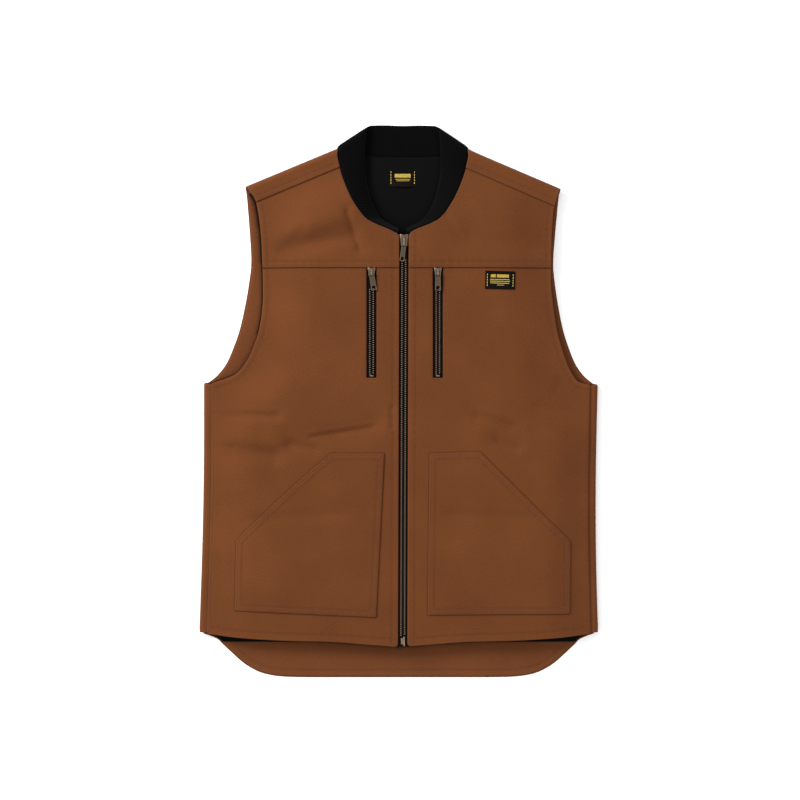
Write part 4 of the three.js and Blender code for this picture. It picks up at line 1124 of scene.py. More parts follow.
# Pieces.
def build_back(p):
    """The back below the yoke, with its tail, as far as the side seams on the front."""
    s = p.size
    wrap = math.pi * (p.side_radius - s.canvas / 2) + (s.side_inset - p.side_radius) + s.underlap
    side = p.side_line(p.side_radius)
    side[:, 0] += wrap
    armhole = p.armhole("back")
    edge_y = p.chest_y - s.gap / 2
    armhole = armhole[(armhole[:, 1] < edge_y) & (armhole[:, 0] < p.half_chest - p.side_radius)]
    first = np.interp(edge_y, p.armhole("back")[::-1, 1], p.armhole("back")[::-1, 0])
    tail = p.tail()
    tail = tail[tail[:, 0] < p.half_hem - p.side_radius]
    corner = [[p.half_hem - p.side_radius, p.hem_y]]
    half = np.vstack([[[0.0, edge_y], [first, edge_y]], armhole, side, corner, tail, [[0.0, p.tail_foot]]])
    outline = np.vstack([half, half[1:-1][::-1] * [-1.0, 1.0]])
    place = back_place(p)
    tail_line = np.vstack([p.tail(), p.tail()[::-1] * [-1.0, 1.0]])
    keep = np.concatenate([[True], np.linalg.norm(np.diff(tail_line, axis=0), axis=1) > 1e-6])
    lines = runs_inside(shifted(tail_line[keep], -HEM_STITCH), outline, 0.003)
    for name in SIDES:
        edge = p.armhole("back") * [SIGN[name], 1.0]
        lines += runs_inside(shifted(edge, -BACK_ARMHOLE_STITCH * SIGN[name]), outline, 0.003)
    bends = []
    for over in np.arange(0.0, math.pi * p.side_radius, 0.0013):
        line = p.side_line(p.side_radius - over, 60)
        bends += [line, line * [-1.0, 1.0]]
    relief = seam_relief_down(lines)
    piece = cloth(
        "back_panel_canvas", outline, place, s.canvas, lines, relief, step=s.net * 1.3, bends=bends
    )
    finish_piece(piece, canvas_material(), "canvas", "vest", "back_panel")
    declare_cloth(outline)
    return lines, place


def seam_relief_down(lines):
    """The back lies on the floor, so its seams only press in and its edge stays flat."""
    def relief(points, edge_distance):
        result = np.zeros(len(points))
        for line in lines:
            result -= 0.00025 * np.exp(-((nearest(points, line)[0] / 0.001) ** 2))
        return result
    return relief


def build_back_yoke(p):
    """The upper back, as far as the shoulder seams on the front."""
    s = p.size
    edge_y = p.chest_y + s.gap / 2
    neck = p.back_neck()
    armhole = p.armhole("back")
    tangent = p.below_shoulder(armhole, p.shoulder_radius)
    first = np.interp(edge_y, armhole[::-1, 1], armhole[::-1, 0])
    tangent = tangent[tangent[:, 1] > edge_y]
    a, b = p.shoulder_line(p.shoulder_radius)
    normal = np.array([b[1] - a[1], a[0] - b[0]])
    below = neck[(neck - a) @ normal > 0]
    lip_neck = p.below_shoulder(p.front_neck(), p.shoulder_radius)
    low, high = p.shoulder_line(s.shoulder_lap)
    normal_lap = np.array([high[1] - low[1], low[0] - high[0]])

    def above_seam(line):
        depth = (line - low) @ normal_lap
        last = int(np.argmax(depth > 0))
        share = depth[last - 1] / (depth[last - 1] - depth[last])
        cross = line[last - 1] + (line[last] - line[last - 1]) * share
        return np.vstack([line[:last], cross[None]])

    lip_neck = above_seam(lip_neck)
    outlines = {}
    for name in SIDES:
        lip_arm = above_seam(p.below_shoulder(p.armhole(name), p.shoulder_radius))
        outlines[name] = np.vstack([
            below,
            unfolded(p, lip_neck),
            unfolded(p, lip_arm)[::-1],
            tangent,
            [[first, edge_y]],
        ])
    left = outlines["left"] * [-1.0, 1.0]
    outline = np.vstack([outlines["right"], left[::-1][:-1] if left[0][0] == 0 else left[::-1]])
    place = yoke_place(p)
    lines = []
    for rise in (0.002, 0.008):
        seam = p.shoulder_line(s.shoulder_lap - rise)
        for name in SIDES:
            lines += runs_inside(unfolded(p, seam) * [SIGN[name], 1.0], outline, 0.0015)
        lines += runs_inside(level(edge_y + rise), outline, 0.0015)
    bends = []
    for over in np.arange(0.0, math.pi * p.shoulder_radius, 0.0015):
        line = p.shoulder_line(p.shoulder_radius - over)
        bends += [line, line * [-1.0, 1.0]]
    relief = seam_relief(lines, pucker=0.0001, ridge=0.0)
    piece = cloth("back_yoke_canvas", outline, place, s.canvas, lines, relief, bends=bends)
    finish_piece(piece, canvas_material(), "canvas", "vest", "back_yoke")
    declare_cloth(outline)
    return lines, place


def build_fronts(p):
    """Front yokes and panels, with their stitch lines."""
    s = p.size
    made = []
    for name in SIDES:
        whole = p.beyond_zip(p.front_outline(name), name, FRONT_OPENING)
        armhole = p.side(name, p.armhole(name))
        neck = p.side(name, p.front_neck())
        hem = p.side(name, p.front_hem())
        seam = p.side(name, p.side_line(s.side_inset))
        zip_low, zip_high = p.hem_y - s.hem_drop, p.zip_top
        edge = np.array([[p.zip_x(y) + SIGN[name] * FRONT_OPENING / 2, y] for y in (zip_low, zip_high)])
        # A negative shift goes into the piece, except at the neck and at the left edge's zip.
        beside_zip = shifted(edge, -ZIP_STITCH * SIGN[name])
        beside_armhole = shifted(armhole, -ARMHOLE_STITCH)
        inner = edge[1] + (edge[1] - edge[0]) * 0.01
        whole = rounded(whole, (inner[0], p.zip_top), 0.0065)
        whole = rounded(whole, (edge[0][0], zip_low), 0.006)
        yoke = clipped(whole, (0.0, p.chest_y), (0.0, 1.0))
        lines = []
        for rise in (0.002, 0.009):
            lines += runs_inside(level(p.chest_y + rise), yoke, 0.0015)
        lines += runs_inside(shifted(neck, EDGE_STITCH), yoke, 0.0012)
        lines += runs_inside(beside_armhole, yoke, 0.003)
        lines += runs_inside(beside_zip, yoke, 0.003)
        place = front_place(p, p.layer)
        # Painted shadow along the shoulder seam, under the back yoke's edge.
        creases = [(divided(p.side(name, p.shoulder_line(s.shoulder_lap)), 0.004), 0.0009, 0.75)]
        piece = cloth(
            f"front_yoke_{name}_canvas", yoke, place, s.canvas, lines, seam_relief(lines), shadows=creases
        )
        finish_piece(piece, canvas_material(), "canvas", "vest", f"front_yoke_{name}")
        declare_cloth(yoke)
        made.append((lines, place))

        top = p.chest_y + s.yoke_lap
        panel = clipped(whole, (0.0, top), (0.0, -1.0))
        x = chest_zip_x(p, name)
        half, foot = CHEST_OPENING / 2, p.chest_y - CHEST_LENGTH
        panel = counterclockwise(panel)
        for i in range(len(panel)):
            j = (i + 1) % len(panel)
            if abs(panel[i][1] - top) < 1e-7 and abs(panel[j][1] - top) < 1e-7:
                notch = [[x + half, top], [x + half, foot], [x - half, foot], [x - half, top]]
                panel = np.vstack([panel[:i + 1], notch, panel[i + 1:]])
                break
        lines = runs_inside(shifted(hem, -HEM_STITCH), panel, 0.002)
        lines += runs_inside(beside_armhole, panel, 0.003)
        lines += runs_inside(shifted(seam, -EDGE_STITCH), panel, 0.0015)
        lines += runs_inside(beside_zip, panel, 0.003)
        around = np.array([
            [x - half - EDGE_STITCH, p.chest_y],
            [x - half - EDGE_STITCH, foot - EDGE_STITCH],
            [x + half + EDGE_STITCH, foot - EDGE_STITCH],
            [x + half + EDGE_STITCH, p.chest_y],
        ])
        lines += runs_inside(around, panel, 0.0012)
        place = front_place(p, 0.0)
        # Painted shadow along the chest seam under the yoke's edge, and round the pocket's edge.
        creases = [(divided(level(p.chest_y), 0.004), 0.0009, 0.75)]
        creases.append((closed(pocket_outline(p, name)), 0.0008, 0.5))
        piece = cloth(
            f"front_panel_{name}_canvas", panel, place, s.canvas, lines, seam_relief(lines), shadows=creases
        )
        finish_piece(piece, canvas_material(), "canvas", "vest", f"front_panel_{name}")
        declare_cloth(panel)
        made.append((lines, place))
    return made


def chest_zip_x(p, name):
    return p.zip_x(p.chest_y) + CHEST_ZIP_FROM_FRONT[name]


def pocket_outline(p, name):
    top = p.chest_y - POCKET_BELOW_SEAM
    edge = p.zip_x(top) + POCKET_FROM_FRONT[name]
    corners = [
        (edge + SIGN[name] * across * POCKET_WIDTH, top - down * POCKET_HEIGHT)
        for across, down in POCKETS[name]
    ]
    return counterclockwise(np.array(corners))


def build_pockets(p):
    """The patch pockets, with two rows of stitches each."""
    made = []
    for name in SIDES:
        outline = pocket_outline(p, name)
        lines = [closed(inset(outline, rise)) for rise in (0.002, 0.0085)]
        place = front_place(p, p.layer)
        piece = cloth(f"hand_pocket_{name}_canvas", outline, place, p.size.canvas, lines, seam_relief(lines))
        finish_piece(piece, canvas_material(), "canvas", "vest", f"hand_pocket_{name}")
        declare_cloth(outline)
        made.append((lines, place))
    return made


def inside_outline(p):
    """The flat space between the side folds and the shoulder folds of the back."""
    roll = 0.002
    neck = p.back_neck()
    a, b = p.shoulder_line(p.shoulder_radius + roll)
    normal = np.array([b[1] - a[1], a[0] - b[0]])
    neck = neck[(neck - a) @ normal > 0]
    armhole = shifted(p.armhole("back"), -roll)
    armhole = p.below_shoulder(armhole, p.shoulder_radius + roll)
    armhole = armhole[armhole[:, 0] < p.half_chest - p.side_radius - roll]
    side = p.side_line(p.side_radius + roll)
    tail = shifted(p.tail(), -roll)
    tail = tail[tail[:, 0] < side[-1, 0]]
    half = np.vstack([shifted(neck, -roll), armhole, side, tail, [[0.0, p.tail_foot + roll]]])
    return counterclockwise(np.vstack([p.laid(half), p.laid(half[1:-1][::-1] * [-1.0, 1.0])]))


def inner_place(p, thick, wrinkle):
    """Places the cloths inside the back, flat with a few soft waves."""
    def place(points, k):
        wave = np.sin(points @ p.waves.T * 1.3 + p.phases) @ p.heights / 0.00016
        rise = wrinkle * np.clip(wave / 6.0 + 0.5, 0.0, 1.0)
        z = p.inner_z + thick / 2 + rise + np.asarray(k) * thick / 2
        return np.column_stack([points, z])
    return place


def build_inside(p):
    """Hem facing, armhole facings and lining, all inside the back."""
    s = p.size
    whole = inside_outline(p)
    top = p.tail_y + s.hem_facing
    hem = clipped(whole, (0.0, top), (0.0, -1.0))
    place = inner_place(p, s.lining, 0.0)
    line = shifted(p.laid(np.vstack([p.tail(), p.tail()[::-1] * [-1.0, 1.0]])), -HEM_STITCH)
    lines = runs_inside(line, hem, 0.0015)
    shadows = edge_shadows(p)
    relief = seam_relief(lines, pucker=0.0001)
    piece = cloth("back_hem_facing_canvas", hem, place, s.lining, lines, relief, shadows=shadows)
    finish_piece(piece, facing_material(), "facing", "vest", "back_hem_facing")
    declare_cloth(hem)
    made = [(lines, place)]

    edge = p.armhole("back")
    edge = p.below_shoulder(shifted(edge, -0.002), p.shoulder_radius + 0.002)
    edge = edge[edge[:, 0] < p.half_chest - p.side_radius - 0.002]
    for name in SIDES:
        inner = shifted(edge, -s.facing_width)
        inner = inner[(inner[:, 1] > edge[-1, 1] - 0.02)]
        strip = np.vstack([edge, inner[::-1]])
        outline = counterclockwise(p.side(name, strip))
        middle = p.side(name, shifted(edge, -s.facing_width * 0.8))
        lines = runs_inside(middle, outline, 0.0012)
        relief = seam_relief(lines)
        piece = cloth(
            f"armhole_facing_{name}_canvas", outline, place, s.lining, lines, relief, shadows=shadows
        )
        finish_piece(piece, facing_material(), "facing", "vest", f"armhole_facing_{name}")
        declare_cloth(outline, (s.facing_width + 0.002, float(arcs(edge)[-1]) + 0.03))
        made.append((lines, place))
    # The lining is cut back along both facings.
    cut = shifted(edge, -(s.facing_width + s.gap))
    neck = p.back_neck()
    a, b = p.shoulder_line(p.shoulder_radius + 0.002)
    normal = np.array([b[1] - a[1], a[0] - b[0]])
    neck = shifted(neck[(neck - a) @ normal > 0], 0.0012)
    side = p.side_line(p.side_radius + 0.002)
    side = side[side[:, 1] < cut[-1, 1] - 0.001]
    side_top = [[side[0, 0], cut[-1, 1] - 0.0005]]
    whole_tail = shifted(p.tail(), -0.002)
    tail = whole_tail[(whole_tail[:, 0] < side[-1, 0]) & (whole_tail[:, 1] > top + s.gap)]
    foot = np.interp(top + s.gap, whole_tail[::-1, 1], whole_tail[::-1, 0])
    half = np.vstack([neck, cut, side_top, side, tail, [[foot, top + s.gap], [0.0, top + s.gap]]])
    outline = counterclockwise(np.vstack([p.laid(half), p.laid(half[1:-1][::-1] * [-1.0, 1.0])]))
    waved = inner_place(p, s.lining, 0.0012)
    piece = cloth("back_lining_cloth", outline, waved, s.lining, step=s.net * 1.5)
    finish_piece(piece, lining_material(), "lining", "vest", "back_lining")
    declare_cloth(outline)
    return made


def build_collar(p):
    """The knit collar: a ribbed sheet from its seam to its rolled free edge."""
    s = p.size
    rows = []
    for row in COLLAR:
        seam = np.array(p.neck_point(row["seam"]))
        free = np.array(p.neck_point(row["free"]))
        inward = (free - seam) / np.linalg.norm(free - seam)
        seam = seam + inward * 2 * s.gap
        front = float(p.front(p.laid(seam[None]))[0]) + p.layer
        foot = s.knit / 2
        seam_z = foot + row["lift"] * (front - foot)
        free_z = foot + row["lift"] * (s.free_height - foot)
        rows.append((np.append(seam, seam_z), np.append(free, free_z), row["lift"]))
    flip = np.array([-1.0, 1.0, 1.0])
    both = [(a * flip, b * flip, k) for a, b, k in rows] + rows[:-1][::-1]
    seam = spline([r[0] for r in both], 60)
    free = spline([r[1] for r in both], 60)
    lift = spline([[r[2]] for r in both], 60)[:, 0]
    middle = (seam + free) / 2
    s_mid = arcs(middle)
    count = int(s_mid[-1] / 0.00055)
    at = np.linspace(0.0, s_mid[-1], count)
    share = np.interp(at, s_mid, np.arange(len(middle)))

    def pick(line):
        index = np.arange(len(line))
        return np.stack([np.interp(share, index, line[:, k]) for k in range(line.shape[1])], axis=1)

    seam, free = pick(seam), pick(free)
    lift = np.interp(share, np.arange(len(lift)), lift)
    across = 12
    v = np.linspace(0.0, 1.0, across + 1)
    grid = seam[:, None] + (free - seam)[:, None] * v[None, :, None]
    grid[:, :, 2] += (0.0022 * lift)[:, None] * np.sin(math.pi * v)[None, :]
    du = np.gradient(grid, axis=0)
    dv = np.gradient(grid, axis=1)
    normal = np.cross(du, dv)
    normal /= np.maximum(np.linalg.norm(normal, axis=2), 1e-12)[:, :, None]
    rib = 0.5 - 0.5 * np.cos(at / 0.0031 * 2 * math.pi)
    half = np.full(across + 1, s.knit / 2)
    half[0] = s.canvas / 2
    half[-1] *= 0.35
    half[-2] *= 0.85
    relief = (rib * 0.00045)[:, None] * np.clip(np.sin(math.pi * (0.08 + 0.86 * v)) * 2.5, 0.0, 1.0)[None, :]
    upper = grid + normal * (half[None, :] - relief)[:, :, None]
    lower = grid - normal * (half[None, :] - relief)[:, :, None]
    shell = np.concatenate([upper, lower[:, ::-1]], axis=1)
    flat = p.laid(shell.reshape(-1, 3)[:, :2])
    vertices = np.column_stack([flat, np.maximum(shell.reshape(-1, 3)[:, 2], 0.0)])
    ring = shell.shape[1]
    i, k = np.meshgrid(np.arange(count - 1), np.arange(ring), indexing="ij")
    n = (k + 1) % ring
    quads = np.stack([i * ring + k, i * ring + n, (i + 1) * ring + n, (i + 1) * ring + k], axis=-1)
    quads = quads.reshape(-1, 4)
    faces = quads.tolist() + [list(range(ring))[::-1], [(count - 1) * ring + m for m in range(ring)]]
    volume_sign = vertices[quads[:, 0]] * np.cross(vertices[quads[:, 1]], vertices[quads[:, 2]])
    if np.sum(volume_sign) < 0:
        faces = [f[::-1] for f in faces]
    uv = np.stack([np.repeat(at, ring), np.tile(np.concatenate([v, v[::-1]]) * 0.05, count)], axis=1)
    piece = object_from("collar_rib_knit", vertices, faces, uv)
    finish_piece(piece, knit_material(), "rib_knit", "vest", "collar")


def knit_material():
    """Black rib knit: rows of small loops along each rib."""
    name = "Black rib knit"
    if name in bpy.data.materials:
        return bpy.data.materials[name]
    material, nodes, links, shader = new_material(name)
    coords = nodes.new("ShaderNodeUVMap")
    coords.uv_map = "UVMap"
    weave = nodes.new("ShaderNodeGroup")
    weave.node_tree = weave_group()
    weave.inputs["Threads per metre"].default_value = 900.0
    links.new(coords.outputs[0], weave.inputs["Vector"])
    dye = nodes.new("ShaderNodeGroup")
    dye.node_tree = mottle_group()
    dye.inputs["Colour"].default_value = (*colours().knit, 1.0)
    dye.inputs["Amount"].default_value = 0.6
    links.new(coords.outputs[0], dye.inputs["Vector"])
    links.new(dye.outputs["Colour"], shader.inputs["Base Color"])
    relief = nodes.new("ShaderNodeBump")
    relief.inputs["Strength"].default_value = 0.6
    relief.inputs["Distance"].default_value = 0.0003
    links.new(weave.outputs["Height"], relief.inputs["Height"])
    links.new(relief.outputs[0], shader.inputs["Normal"])
    shader.inputs["Roughness"].default_value = 0.95
    shader.inputs["Sheen Weight"].default_value = 0.015
    shader.inputs["Specular IOR Level"].default_value = 0.04
    return material


def build_tapes(p):
    """The dark tapes under the zips' openings."""
    s = p.size
    lift = -(s.canvas / 2 + s.gap + TAPE / 2)
    base = front_place(p, lift)

    def place(points, k):
        return base(points, k, half=TAPE / 2)

    foot = p.hem_y - s.hem_drop + s.gap
    half = FRONT_OPENING / 2 + TAPE_MARGIN
    for name in SIDES:
        inner, outer = SIGN[name] * s.gap / 2, SIGN[name] * half
        outline = np.array([
            [p.zip_x(foot) + inner, foot],
            [p.zip_x(foot) + outer, foot],
            [p.zip_x(p.zip_top) + outer, p.zip_top],
            [p.zip_x(p.zip_top) + inner, p.zip_top],
        ])
        piece = cloth(f"front_zip_tape_{name}_cloth", outline, place, TAPE, step=0.003)
        finish_piece(piece, tape_material(), "zip_tape", "vest", f"front_zip_tape_{name}")
        declare_cloth(outline)
        x = chest_zip_x(p, name)
        wide = CHEST_OPENING / 2 + TAPE_MARGIN
        low, high = p.chest_y - CHEST_LENGTH - TAPE_MARGIN, p.chest_y + TAPE_MARGIN
        outline = np.array([[x - wide, low], [x + wide, low], [x + wide, high], [x - wide, high]])
        piece = cloth(f"chest_zip_{name}_tape_cloth", outline, place, TAPE, step=0.003)
        finish_piece(piece, tape_material(), "zip_tape", "vest", f"chest_zip_{name}_tape")
        declare_cloth(outline)


def select_only(piece):
    bpy.ops.object.select_all(action="DESELECT")
    piece.select_set(True)
    bpy.context.view_layer.objects.active = piece


def apply_all(piece):
    select_only(piece)
    for modifier in list(piece.modifiers):
        bpy.ops.object.modifier_apply(modifier=modifier.name)


def bevelled(piece, width, segments=2):
    bevel = piece.modifiers.new("Bevel", "BEVEL")
    bevel.width = width
    bevel.segments = segments
    bevel.limit_method = "ANGLE"
    bevel.angle_limit = math.radians(35)
    apply_all(piece)


def block(name, size, centre):
    """A box primitive at its size and place."""
    bpy.ops.object.select_all(action="DESELECT")
    bpy.ops.mesh.primitive_cube_add(size=1.0, location=centre)
    piece = bpy.context.object
    piece.name = name
    piece.scale = size
    bpy.ops.object.transform_apply(location=True, rotation=True, scale=True)
    return piece


def joined(name, parts):
    bpy.ops.object.select_all(action="DESELECT")
    for part in parts:
        part.select_set(True)
    bpy.context.view_layer.objects.active = parts[0]
    bpy.ops.object.join()
    piece = bpy.context.object
    piece.name = name
    return piece


def moved(piece, matrix):
    """Bakes a placement into the mesh, so that the object stays at the origin."""
    piece.data.transform(matrix)
    piece.data.update()


def tooth_model(width, thick, long):
    """One zip tooth: a clamped foot, a neck and a rounded head, along +X."""
    foot = block("tooth", (width * 0.44, long, thick), (width * -0.28, 0.0, 0.0))
    neck = block("neck", (width * 0.5, long * 0.6, thick * 0.66), (0.0, 0.0, 0.0))
    head = block("head", (width * 0.3, long * 1.05, thick * 0.84), (width * 0.35, 0.0, 0.0))
    for part in (foot, neck, head):
        bevelled(part, long * 0.16, 1)
    return joined("tooth", [foot, neck, head])


def chain_place(p, zip_name):
    """The chain's middle line as x over y, and its top and foot."""
    if zip_name == "front":
        foot = p.hem_y - p.size.hem_drop + p.size.gap + 0.014
        return p.zip_x, p.zip_top - 0.012, foot + p.size.gap
    x = chest_zip_x(p, zip_name)
    return (lambda y: x + 0.0 * y), p.chest_y - 0.008, p.chest_y - CHEST_LENGTH + 0.004


def build_chain(p, zip_name):
    """Interlocking teeth from both tapes, all in one mesh."""
    data = ZIPS[zip_name]
    line, top, foot = chain_place(p, zip_name)
    half = data["chain"] / 2
    model = tooth_model(half, CHAIN_HEIGHT * 1.05, TOOTH_PITCH * TOOTH_SHARE)
    moved(model, Matrix.Rotation(TOOTH_TURN, 4, "Z"))
    local = np.array([tuple(v.co) for v in model.data.vertices])
    polygons = [list(f.vertices) for f in model.data.polygons]
    bpy.data.objects.remove(model)
    vertices, faces, shoulders = [], [], []
    lift = -(p.size.canvas / 2 + p.size.gap) + p.size.gap + CHAIN_HEIGHT / 2
    # Under the pull the teeth get a painted shadow, a darker colour, so that its hole reads dark.
    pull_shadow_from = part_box(f"{zip_prefix(zip_name)}_slider")[0].y - data["pull"][1] * 0.75
    count = int((top - foot) / TOOTH_PITCH)
    ys = foot + (np.arange(count) + 0.5) * (top - foot) / count
    for way, shift in ((-1.0, 0.0), (1.0, TOOTH_PITCH / 2)):
        y = ys + shift
        y = y[y < top]
        x = line(y)
        z = p.front(np.stack([x, y], axis=1)) + lift
        for xi, yi, zi in zip(x, y, z):
            base = len(vertices) * len(local)
            put = local.copy()
            put[:, 0] = way * half / 2 - way * local[:, 0]
            shoulders.append(np.abs(put[:, 0]) / half * (0.3 if yi > pull_shadow_from else 1.0))
            put += np.array([xi, yi, zi])
            vertices.append(put)
            turned = polygons if way < 0 else [f[::-1] for f in polygons]
            faces += [[base + v for v in f] for f in turned]
    masks = {"shoulder": np.concatenate(shoulders)}
    piece = object_from(f"{zip_prefix(zip_name)}_teeth", np.vstack(vertices), faces, masks=masks)
    for polygon in piece.data.polygons:
        polygon.use_smooth = False
    finish_piece(piece, teeth_material(), "zip_metal", "vest", f"{zip_prefix(zip_name)}_chain")


def zip_prefix(zip_name):
    return "front_zip" if zip_name == "front" else f"chest_zip_{zip_name}"


def brass_material():
    return metal_material("Antique brass", colours().brass, 0.5, 3.0)


def teeth_material():
    """The zip's brass: painted shade where the teeth meet and under the pull, a painted highlight at their
    shoulders.
    """
    name = "Brass zip teeth"
    if name in bpy.data.materials:
        return bpy.data.materials[name]
    material = metal_material(name, [a * b for a, b in zip(colours().brass, (1.0, 0.94, 1.0))], 0.5, 1.9)
    nodes, links = material.node_tree.nodes, material.node_tree.links
    shader = nodes["Principled BSDF"]
    # The shoulder mask paints shade where the teeth meet and under the pull, and a highlight at their
    # shoulders.
    mask = nodes.new("ShaderNodeAttribute")
    mask.attribute_name = "shoulder"
    bright = nodes.new("ShaderNodeMapRange")
    bright.inputs["From Min"].default_value = 0.25
    bright.inputs["From Max"].default_value = 0.6
    bright.inputs["To Min"].default_value = 0.08
    bright.inputs["To Max"].default_value = 2.0
    links.new(mask.outputs["Fac"], bright.inputs["Value"])
    tint = nodes.new("ShaderNodeVectorMath")
    tint.operation = "SCALE"
    links.new(shader.inputs["Base Color"].links[0].from_socket, tint.inputs[0])
    links.new(bright.outputs[0], tint.inputs["Scale"])
    links.new(tint.outputs[0], shader.inputs["Base Color"])
    return material


def flare(share):
    """A slider's width at a share of its length, as a share of its full width."""
    return 0.74 + 0.26 * float(smooth((share - 0.35) / 0.5))


def build_slider(zip_name):
    """A zip slider: flared top plate with curled flanges, and the bridge that holds the pull."""
    data = ZIPS[zip_name]
    width, length = data["slider"]
    low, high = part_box(f"{zip_prefix(zip_name)}_slider")
    centre = (low + high) / 2
    at = Vector((centre.x, centre.y, high.z - SLIDER_HEIGHT))
    body = block("slider", (width, length, PLATE_HEIGHT), (0.0, 0.0, PLATE_HEIGHT / 2))
    select_only(body)
    bpy.ops.object.mode_set(mode="EDIT")
    bpy.ops.mesh.select_all(action="SELECT")
    bpy.ops.mesh.subdivide(number_cuts=3)
    bpy.ops.object.mode_set(mode="OBJECT")
    for vertex in body.data.vertices:
        share = vertex.co.y / length + 0.5
        vertex.co.x *= flare(share)
        if abs(vertex.co.x) < 0.1 * width and share > 0.99:
            vertex.co.y -= 0.0012
        if vertex.co.z > 0.001:
            vertex.co.z -= 0.0006 * (abs(vertex.co.x) / (width / 2)) ** 2
    parts = [body]
    depth = at.z - low.z
    for way in (-1, 1):
        flange = block("flange", (0.0012, length * 0.94, depth + 0.0009), (0, 0, 0))
        for vertex in flange.data.vertices:
            share = vertex.co.y / length + 0.5
            vertex.co.x += way * (width / 2 * flare(share) - 0.0008)
            vertex.co.z += (0.0009 - depth) / 2
        parts.append(flange)
    bridge_y = -length / 2 + 0.0027 / 2 + 0.001
    top = PLATE_HEIGHT
    for way in (-1, 1):
        parts.append(block("leg", (0.0024, 0.001, 0.003), (0.0, bridge_y + way * 0.00185, top + 0.0013)))
    parts.append(block("crown", (0.0024, 0.0047, 0.0009), (0.0, bridge_y, top + 0.0027 + 0.00042)))
    spine_y = bridge_y + 0.0023 + length * 0.2
    parts.append(block("spine", (0.0024, length * 0.42, 0.0009), (0.0, spine_y, top + 0.0004)))
    for part in parts:
        bevelled(part, 0.00028, 2)
    piece = joined(f"{zip_prefix(zip_name)}_slider_metal", parts)
    moved(piece, Matrix.Translation(at))
    shade_by_angle(piece)
    finish_piece(piece, brass_material(), "zip_metal", "vest", f"{zip_prefix(zip_name)}_slider")


def shade_by_angle(piece):
    select_only(piece)
    bpy.ops.object.shade_smooth_by_angle(angle=math.radians(40))


def joint_of(zip_name):
    """The record's joint of this zip's pull."""
    joints = frame["record"]["behaviour"]["joints"]
    return next(joint for joint in joints if joint["name"] == f"{zip_name}_pull_hinge")


def build_pull(zip_name):
    """A pull tab: a plate with an eye round the bridge and a square hole at its end."""
    data = ZIPS[zip_name]
    width, length = data["pull"]
    bar = 0.00055
    eye = 0.0034
    arm = width * 0.3
    tip = bar - length
    hole_low = tip + PULL_RIM
    rows = [bar, -bar, -eye, -eye - 0.0016, hole_low + PULL_HOLE, hole_low, tip]
    columns = [-width / 2, -arm, arm, width / 2]
    bpy.ops.object.select_all(action="DESELECT")
    bpy.ops.mesh.primitive_grid_add(x_subdivisions=3, y_subdivisions=6, size=1.0)
    piece = bpy.context.object
    for vertex in piece.data.vertices:
        i = round((vertex.co.x + 0.5) * 3)
        j = round((0.5 - vertex.co.y) * 6)
        vertex.co.x, vertex.co.y = columns[i], rows[j]
        if j in (2, 3) and i in (0, 3):
            vertex.co.x *= 0.93
    bpy.ops.object.mode_set(mode="EDIT")
    bpy.ops.mesh.select_mode(type="FACE")
    bpy.ops.mesh.select_all(action="DESELECT")
    bpy.ops.object.mode_set(mode="OBJECT")
    for polygon in piece.data.polygons:
        y = polygon.center.y
        middle = abs(polygon.center.x) < arm / 2
        polygon.select = middle and (-eye < y < -bar or hole_low < y < hole_low + PULL_HOLE)
    bpy.ops.object.mode_set(mode="EDIT")
    bpy.ops.mesh.delete(type="FACE")
    bpy.ops.object.mode_set(mode="OBJECT")
    solid = piece.modifiers.new("Thickness", "SOLIDIFY")
    solid.thickness = PULL_THICKNESS
    solid.offset = 0.0
    apply_all(piece)
    bevelled(piece, 0.00026, 2)
    piece.name = f"{zip_prefix(zip_name)}_pull_metal"
    dip = Matrix.Rotation(math.radians(data["dip"]), 4, "X")
    turn = Matrix.Rotation(math.radians(data["yaw"]), 4, "Z") @ dip
    joint = joint_of(zip_name)
    moved(piece, Matrix.Translation(joint["pos_m"]) @ turn)
    shade_by_angle(piece)
    finish_piece(piece, brass_material(), "zip_metal", joint["child"], f"{zip_prefix(zip_name)}_pull")


def build_stops(p):
    """Metal stops: the box at the front zip's foot and the stops under the chest zips."""
    low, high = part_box("front_zip_box")
    size = high - low
    centre = (low + high) / 2
    beside = centre + Vector((0.0018, 0, 0))
    parts = [block("box", (size.x * 0.62, size.y * 0.6, size.z * 0.8), centre)]
    parts.append(block("pin", (size.x * 0.3, size.y * 0.95, size.z * 0.7), beside))
    for part in parts:
        bevelled(part, 0.0004, 2)
    piece = joined("front_zip_box_metal", parts)
    shade_by_angle(piece)
    finish_piece(piece, brass_material(), "zip_metal", "vest", "front_zip_box")
    for name in SIDES:
        x = chest_zip_x(p, name)
        y = p.chest_y - CHEST_LENGTH + 0.0028
        z = float(p.front(np.array([[x, y]]))[0]) + 0.0001
        stop = block(f"chest_zip_{name}_stop", (0.0052, 0.002, 0.0018), (x, y, z))
        bevelled(stop, 0.0004, 2)
        shade_by_angle(stop)
        finish_piece(stop, brass_material(), "zip_metal", "vest")


# Gold bars of the labels: row and height in metres, then both ends as shares of the half width.
LABEL_BARS = {
    "neck": [(0.0026, 0.0052, -0.56, 0.56), (-0.0024, 0.0009, -0.5, 0.54), (-0.0046, 0.0008, -0.44, 0.46)],
    "chest": [
        (0.0058, 0.0044, -0.62, -0.3),
        (0.0058, 0.0044, -0.22, 0.56),
        (0.0009, 0.0011, -0.66, 0.62),
        (-0.0016, 0.0011, -0.66, 0.64),
        (-0.0042, 0.0011, -0.64, 0.62),
        (-0.0069, 0.0009, -0.2, 0.26),
    ],
}


